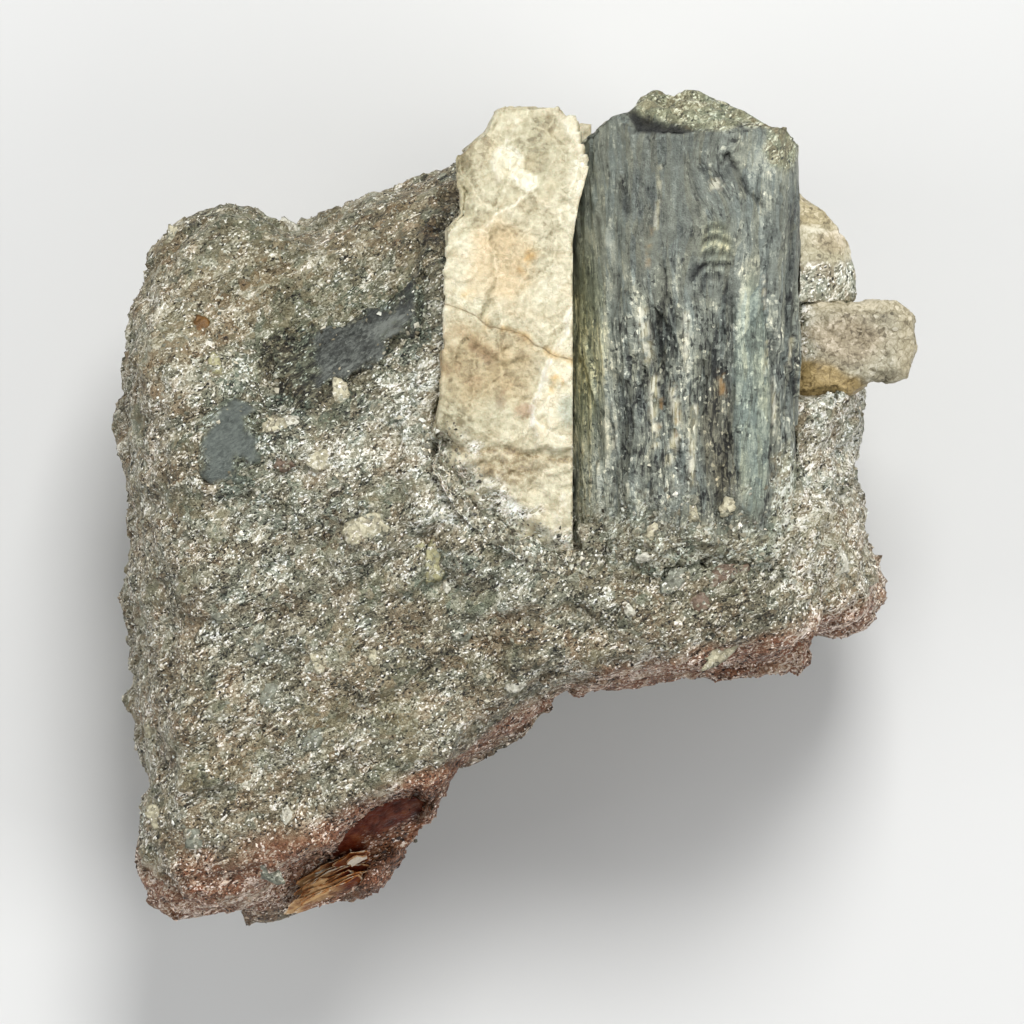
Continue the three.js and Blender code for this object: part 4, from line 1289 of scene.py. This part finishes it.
points, _ = points_and_normals(book)
along, across, _ = ((points - BOOK_MIDDLE) @ BOOK_AXES.T).T
painted(book, "pink", near(across, 1.8, 1.2))
painted(book, "golden", above(along, -1.2, -2.4) * above(across, 0.6, 0.0))
painted(book, "granular", book_grit(points))


def mica_material():
    material, tree, shader = new_material("phlogopite")
    plain = in_millimetres(tree)
    clouds = noise_texture(tree, plain, 1.1, 4.0, 0.6)["Fac"]
    sheet = attribute(tree, "tone")
    tone = summed(tree, -0.18, (clouds, 0.9), (sheet, 0.37))
    colour = ramp(tree, tone, (
        (0.1, (34, 13, 7)), (0.36, (84, 30, 14)), (0.6, (132, 78, 44)),
        (0.8, (184, 144, 96)), (1.0, (212, 200, 182))))
    layered = in_millimetres(tree, (1, 1, 3), tuple(BOOK_TURN))
    streaks = noise_texture(tree, layered, 2.2, 3.0, 0.6)["Fac"]
    pink = calc(tree, "MULTIPLY", attribute(tree, "pink"), spread(tree, streaks, 0.4, 0.6, 0.0, 0.35))
    colour = mixed(tree, pink, colour, linear(146, 86, 62))
    golden = calc(tree, "MULTIPLY", attribute(tree, "golden"), spread(tree, streaks, 0.35, 0.6, 0.2, 0.9))
    colour = mixed(tree, golden, colour, linear(212, 172, 122))
    edge = ramp(tree, streaks, (
        (0.36, (112, 62, 34)), (0.45, (196, 124, 62)), (0.54, (216, 184, 138)), (0.63, (236, 226, 206))))
    colour = mixed(tree, spread(tree, attribute(tree, "rim"), 0.6, 1.0, 0.0, 0.85), colour, edge)
    speckled = speckle(tree, -0.4, 0.0, ((1.0, (255, 176, 152)),))[0]
    colour = coated(tree, colour, "granular", speckled)
    set_inputs(tree, shader, Base_Color=colour, Roughness=0.3, Normal=bumped(tree, streaks, 0.12))
    set_inputs(tree, shader, Specular_IOR_Level=0.1)
    return material


finish_piece(book, mica_material(), "phlogopite", "phlogopite_book", smooth=False)


# ---------------------------------------------------------------------------------------------
# The loose grains: mica flakes and small feldspar, quartz and pyroxene chips that stand out of
# the schist's broken surface, and close over the foot of the prism and of the slab.

OCTAHEDRON = np.array(((1, 0, 0), (0, 1, 0), (-1, 0, 0), (0, -1, 0), (0, 0, 1), (0, 0, -1)), dtype=float)
OCTAHEDRON_FACES = np.array(
    ((0, 1, 4), (1, 2, 4), (2, 3, 4), (3, 0, 4), (1, 0, 5), (2, 1, 5), (3, 2, 5), (0, 3, 5)))
covering = [node_walls(node) for node in PROUD_NODES]


def samples(piece, count, rng, weight):
    """Random places on a piece, which way each faces, and the mesh point next to it.

    weight says where they are dense.
    """
    mesh = piece.data
    mesh.calc_loop_triangles()
    corners = np.empty(len(mesh.loop_triangles) * 3, dtype=np.int64)
    mesh.loop_triangles.foreach_get("vertices", corners)
    points, _ = points_and_normals(piece)
    a, b, c = (points[corners.reshape(-1, 3)[:, n]] for n in range(3))
    cross = np.cross(b - a, c - a)
    area = np.linalg.norm(cross, axis=1)
    facing = cross / np.maximum(area, 1e-9)[:, None]
    share = area * np.clip(weight((a + b + c) / 3, facing), 0, None)
    chosen = rng.choice(len(share), count, p=share / share.sum())
    s, t = rng.random(count), rng.random(count)
    s, t = np.where(s + t > 1, 1 - s, s), np.where(s + t > 1, 1 - t, t)
    places = a[chosen] + (b - a)[chosen] * s[:, None] + (c - a)[chosen] * t[:, None]
    return places, facing[chosen], corners.reshape(-1, 3)[chosen, 0]


def uncovered(places, gap):
    """Which places are not under a crystal, nor nearer to one than the gap."""
    return np.array([
        all((walls.find_nearest(Vector(p) * MM, gap * MM)[0] is None) for walls in covering) for p in places])


def chips(name, places, facing, size, flat, tilt, rng):
    """One mesh of small closed chips, each turned its own way, and with its own tone."""
    count = len(places)
    facing = facing + tilt * rng.standard_normal((count, 3))
    facing /= np.linalg.norm(facing, axis=1)[:, None]
    along = np.cross(facing, rng.standard_normal((count, 3)))
    along /= np.linalg.norm(along, axis=1)[:, None]
    across = np.cross(facing, along)
    shape = OCTAHEDRON[None] * rng.uniform(0.7, 1.3, (count, 6, 1)) + rng.uniform(-0.18, 0.18, (count, 6, 3))
    shape *= size[:, None, None]
    shape[:, :, 1] *= rng.uniform(0.55, 0.95, count)[:, None]
    shape[:, :, 2] *= flat
    points = places[:, None] + shape[:, :, :1] * along[:, None] + shape[:, :, 1:2] * across[:, None]
    points += shape[:, :, 2:] * facing[:, None]
    points[:, :, 2] = np.maximum(points[:, :, 2], 0.02)  # none reaches through the floor
    faces = (OCTAHEDRON_FACES[None] + 6 * np.arange(count)[:, None, None]).reshape(-1, 3)
    mesh = bpy.data.meshes.new(name)
    mesh.from_pydata((points.reshape(-1, 3) * MM).tolist(), [], faces.tolist())
    piece = bpy.data.objects.new(name, mesh)
    bpy.context.scene.collection.objects.link(piece)
    painted(piece, "tone", np.repeat(rng.random(count), 6))
    painted(piece, "tint", np.repeat(rng.random(count), 6))
    return piece


def chip_material(name, tones, tints, roughness):
    material, tree, shader = new_material(name)
    dust = noise_texture(tree, in_millimetres(tree), 6.0, 3.0, 0.6)["Fac"]
    contrast = summed(tree, 1.0, (attribute(tree, "calm"), -0.45))
    varied = calc(tree, "MULTIPLY", calc(tree, "ADD", attribute(tree, "tone"), -0.5), contrast)
    tone = summed(tree, 0.38, (varied, 1.0), (dust, 0.24), (attribute(tree, "lighter"), 0.17))
    colour = mixed(tree, 0.8, ramp(tree, tone, tones), ramp(tree, attribute(tree, "tint"), tints), "MULTIPLY")
    # The red tint fades on the bright tones, so that the painted glints stay white.
    red = calc(tree, "MULTIPLY", attribute(tree, "red"), spread(tree, tone, 0.6, 0.95, 1.0, 0.3))
    colour = tinted(tree, red, colour, (255, 186, 164))
    set_inputs(tree, shader, Base_Color=colour, Roughness=roughness)
    return material


# The chips' darkest tones are partly dark mica and partly painted shadow between the flakes, and their white
# top partly white grains and partly painted glints.
FLECK_TONES = ((0.0, (44, 40, 32)), (0.16, (84, 80, 67)), (0.4, (124, 120, 104)), (0.7, (156, 152, 136)),
               (0.91, (200, 196, 180)), (1.0, (252, 250, 242)))
FLECK_TINTS = ((0.0, (240, 250, 250)), (0.55, (255, 254, 248)), (0.85, (255, 249, 234)),
               (1.0, (255, 242, 220)))


def on_open_schist(middles, facing):
    return (0.25 + 0.75 * above(facing[:, 2], -0.1, 0.4)) * above(middles[:, 2], 0.4, 1.2)


def flecks(name, places, facing, lighter, calm, size, flat, rng, roughness):
    piece = chips(name, places, facing, size, flat, 0.45, rng)
    painted(piece, "lighter", np.repeat(lighter, 6))
    painted(piece, "calm", np.repeat(calm, 6))
    painted(piece, "red", np.repeat(red_zone(places, noise_field(places, 0.35, seed=7, octaves=3)), 6))
    finish_piece(piece, chip_material(name, FLECK_TONES, FLECK_TINTS, roughness), "schist", smooth=False)


# The grains' sizes run from size to size + spare, and a higher power makes the big ones rarer.
for name, seed, count, gap, size, spare, power, flat, roughness in (
    ("mica_flakes", 51, 24000, 0.1, 0.05, 0.07, 2, 0.3, 0.3),
    ("schist_grains", 52, 14000, 0.12, 0.07, 0.11, 3, 0.5, 0.45),
):
    rng = np.random.default_rng(seed)
    places, facing, below = samples(schist, count, rng, on_open_schist)
    kept = uncovered(places, gap)
    sizes = size + spare * rng.random(kept.sum()) ** power
    flecks(name, places[kept], facing[kept], schist_light[below[kept]], schist_calm[below[kept]],
           sizes, flat, rng, roughness)


def on_crystal_foot(middles, facing):
    return above(middles[:, 1], 2.4, -2.6) ** 1.5 * above(facing[:, 2], 0.2, 0.5)


def on_slab_foot(middles, facing):
    away = from_path(middles[:, 0], middles[:, 1], SLAB_FOOT)
    return above(away, 2.4, 0.2) ** 1.5 * above(facing[:, 2], 0.1, 0.4) * above(middles[:, 1], 4.8, 3.6)


def by_slab_foot(middles, facing):
    away = from_path(middles[:, 0], middles[:, 1], SLAB_FOOT)
    return above(away, 0.7, 0.1) * above(middles[:, 2], 20, 21) * above(middles[:, 1], 4.8, 3.6)


def on_rim(rim):
    def weight(middles, facing):
        inside = depth_inside(middles[:, 0], middles[:, 1], rim)
        return above(inside, 1.3, 0.2) * above(facing[:, 2], 0.1, 0.4)
    return weight


def round_book(middles, facing):
    """The broken walls round the book."""
    notch = in_book_notch(middles[:, 0], middles[:, 1], ((3.5, 2.1), 0.3), ((2.9, 1.7), 0.3))
    in_sight = above(facing[:, 2], 0.0, 0.1) / np.clip(facing[:, 2], 0.3, 1) ** 2
    return notch * above(middles[:, 2], 9, 11) * in_sight


def on_book_grit(middles, facing):
    return book_grit(middles) * above(facing[:, 2], 0, 0.3)


rng = np.random.default_rng(53)
footings = (
    samples(crystal, 1500, rng, on_crystal_foot), samples(slab, 900, rng, on_slab_foot),
    samples(schist, 900, rng, by_slab_foot), samples(blade, 170, rng, on_rim(BLADE_RIM)),
    samples(grain, 40, rng, on_rim(GRAIN_RIM)), samples(book, 600, rng, on_book_grit),
    samples(schist, 900, rng, round_book))
places, facing, _ = (np.concatenate(parts) for parts in zip(*footings))
in_book = -0.9 * (places[:, 1] < -12)  # the grains round the book are darker
flecks("foot_grains", places, facing, in_book, np.zeros(len(places)),
       0.06 + 0.16 * rng.random(len(places)) ** 2, 0.45, rng, 0.45)


# The larger grains, broken flush with the schist, each (across, up, length, width, turn, colour).
CREAM, WHITE, OLIVE = (206, 200, 174), (222, 220, 208), (172, 168, 130)
AMBER, BROWN, SLATE = (120, 84, 34), (124, 104, 88), (140, 143, 130)
LARGE_GRAINS = (
    (-7.2, -0.8, 1.1, 0.6, 110, CREAM), (-11.9, 4.2, 0.75, 0.5, 20, CREAM),
    (-10.9, 4.5, 0.6, 0.4, 40, WHITE), (-9.5, 2.6, 0.7, 0.5, 20, CREAM),
    (-8.5, 5.9, 0.75, 0.42, 10, CREAM), (-11.5, 2.5, 0.6, 0.4, 35, BROWN),
    (-3.9, -2.5, 0.95, 0.5, 130, OLIVE), (-4.5, -1.6, 0.45, 0.3, 0, OLIVE),
    (-3.3, -3.6, 0.28, 0.2, 0, WHITE), (-15.5, 9.3, 0.6, 0.36, 70, AMBER),
    (-17.0, 13.8, 0.6, 0.36, 60, CREAM), (-11.2, 14.3, 0.7, 0.3, -20, WHITE),
    (-14.8, 7.4, 0.65, 0.3, 100, OLIVE), (-14.4, -5.1, 0.5, 0.36, 20, SLATE),
    (-12.5, -6.4, 0.75, 0.5, 60, SLATE), (-6.9, -7.1, 0.36, 0.26, 40, CREAM),
    (-9.7, -7.4, 0.6, 0.3, 45, CREAM), (-12.0, -9.0, 0.7, 0.55, 60, SLATE),
    (-9.9, -11.2, 0.6, 0.45, 20, SLATE), (-18.0, -10.8, 0.5, 0.36, 80, CREAM),
    (-11.2, -15.0, 0.5, 0.3, 25, WHITE), (-15.7, -16.2, 0.7, 0.5, 10, SLATE),
    (-17.8, -15.0, 0.62, 0.5, 70, CREAM), (-12.1, -17.9, 0.75, 0.4, 20, SLATE),
    (-10.0, -18.4, 0.9, 0.3, 24, OLIVE), (-9.2, -17.6, 0.7, 0.2, 24, WHITE),
    (5.7, -4.8, 0.4, 0.28, 20, WHITE), (6.4, -2.2, 0.4, 0.26, 30, WHITE),
    (10.4, -3.1, 1.1, 0.5, 28, BROWN), (9.2, -4.3, 0.6, 0.42, 10, BROWN),
    (10.3, -6.8, 1.3, 0.34, 24, CREAM), (0.1, -8.5, 0.45, 0.3, 20, WHITE),
    (10.7, 0.4, 0.75, 0.4, 100, CREAM), (8.7, 0.7, 0.42, 0.26, 80, SLATE),
    (8.8, 0.0, 0.5, 0.3, 110, CREAM), (6.8, -0.8, 0.55, 0.36, 20, CREAM),
    (7.9, -3.3, 0.8, 0.42, 10, SLATE), (16.3, -2.4, 0.6, 0.4, 20, WHITE),
    (-2.6, -6.0, 0.5, 0.34, 30, SLATE),
)


def large_grains():
    """Low domes with ragged rims, dropped onto whatever lies under them."""
    bpy.context.view_layer.update()
    ground = []
    for piece in (schist, crystal, slab):
        shape = bmesh.new()
        shape.from_mesh(piece.data)
        ground.append(BVHTree.FromBMesh(shape))
        shape.free()
    whole = bmesh.new()
    tints = []
    for n, (across, up, length, width, turn, colour) in enumerate(LARGE_GRAINS):
        start = Vector((across, up, 40)) * MM
        hits = [walls.ray_cast(start, Vector((0, 0, -1))) for walls in ground]
        place, facing = max(((h[0], h[1]) for h in hits if h[0]), key=lambda hit: hit[0].z)
        stand = facing.lerp(Vector((0, 0, 1)), 0.5).to_track_quat("Z", "Y").to_matrix().to_4x4()
        made = bmesh.ops.create_icosphere(whole, subdivisions=3, radius=1)["verts"]
        for vert in made:
            vert.co *= 1 + 0.55 * noise.noise(vert.co * 1.3 + Vector((n, 0, 0)))
            vert.co *= 1 + 0.26 * noise.noise(vert.co * 4.0 + Vector((0, n, 0)))
        size = Matrix.Diagonal((length * MM, width * MM, 0.22 * width * MM, 1))
        sunk = place - Vector((0, 0, 0.06 * width * MM))
        bmesh.ops.transform(whole, verts=made, matrix=Matrix.Translation(sunk) @ stand
                            @ Matrix.Rotation(math.radians(turn), 4, "Z") @ size)
        speckled = 0.0 if colour == AMBER else 1.0
        tints += [(*linear(*colour)[:3], speckled)] * len(made)
    piece = new_piece("large_grains", whole)
    colours = piece.data.color_attributes.new("grain", "FLOAT_COLOR", "POINT")
    colours.data.foreach_set("color", np.array(tints, dtype=np.float32).ravel())
    return piece


def large_grain_material():
    material, tree, shader = new_material("large grains")
    own = add_node(tree, "ShaderNodeAttribute", attribute_name="grain").outputs
    plain = in_millimetres(tree)
    mottle = noise_texture(tree, plain, 3.0, 4.0, 0.7)["Fac"]
    cells = cell_texture(tree, plain, 6.0)
    random = split(tree, cells["Color"])
    shade = ramp(tree, summed(tree, 0.0, (mottle, 0.7), (random[0], 0.3)), (
        (0.25, (130, 126, 112)), (0.45, (206, 202, 190)), (0.62, (255, 254, 248))))
    colour = mixed(tree, 0.85, own["Color"], shade, "MULTIPLY")
    covered = calc(tree, "MULTIPLY", spread(tree, random[1], 0.5, 0.8, 0.0, 0.8), own["Alpha"])
    colour = mixed(tree, covered, colour, speckle(tree, 0.3)[0])
    normal = tilted(tree, cells["Color"], 0.35)
    set_inputs(tree, shader, Base_Color=colour, Roughness=0.42, Normal=bumped(tree, mottle, 0.12, normal))
    return material


finish_piece(large_grains(), large_grain_material(), "schist")


# ---------------------------------------------------------------------------------------------
# The stage: a plain pale floor, soft studio light from above the specimen, and a camera that
# looks straight down on its best face.

FLOOR_SIZE = 3.0
floor_shape = bmesh.new()
bmesh.ops.create_grid(floor_shape, x_segments=1, y_segments=1, size=FLOOR_SIZE / 2)
floor = new_piece("floor", floor_shape)
floor_material, floor_tree, floor_shader = new_material("pale floor")
set_inputs(floor_tree, floor_shader, Base_Color=linear(214, 214, 212), Roughness=0.9)
floor.data.materials.append(floor_material)
floor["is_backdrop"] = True

AIM = Vector((0, 0, 14)) * MM


def area_light(name, place, size, power):
    """A soft light aimed at the specimen, its place and size in metres."""
    data = bpy.data.lights.new(name, "AREA")
    data.size = size
    data.energy = power
    light = bpy.data.objects.new(name, data)
    light.location = place
    light.rotation_euler = (AIM - Vector(place)).to_track_quat("-Z", "Y").to_euler()
    bpy.context.scene.collection.objects.link(light)


area_light("key", (0.05, 0.24, 0.38), 0.15, 1.62)
area_light("left", (-0.30, -0.02, 0.28), 0.22, 0.46)
area_light("right", (0.30, -0.08, 0.26), 0.22, 0.54)

world = bpy.data.worlds.new("studio")
world.use_nodes = True
world.node_tree.nodes["Background"].inputs["Color"].default_value = (0.94, 0.96, 1.0, 1.0)
world.node_tree.nodes["Background"].inputs["Strength"].default_value = 0.37
bpy.context.scene.world = world
bpy.context.scene.view_settings.view_transform = "Standard"

CAMERA_LENS = 500
SENSOR = 36
FRAME_WIDTH = 51.2 * MM
camera_data = bpy.data.cameras.new("camera")
camera_data.lens = CAMERA_LENS
camera_data.sensor_width = SENSOR
camera_data.clip_end = 10
camera = bpy.data.objects.new("camera", camera_data)
camera.location = (-0.075 * MM, 0.075 * MM, AIM.z + FRAME_WIDTH * CAMERA_LENS / SENSOR)
bpy.context.scene.collection.objects.link(camera)
bpy.context.scene.camera = camera

seen_low, seen_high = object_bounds()
sizes = {
    "cad": [list(cad_low), list(cad_high)],
    "visual": [list(seen_low), list(seen_high)],
}
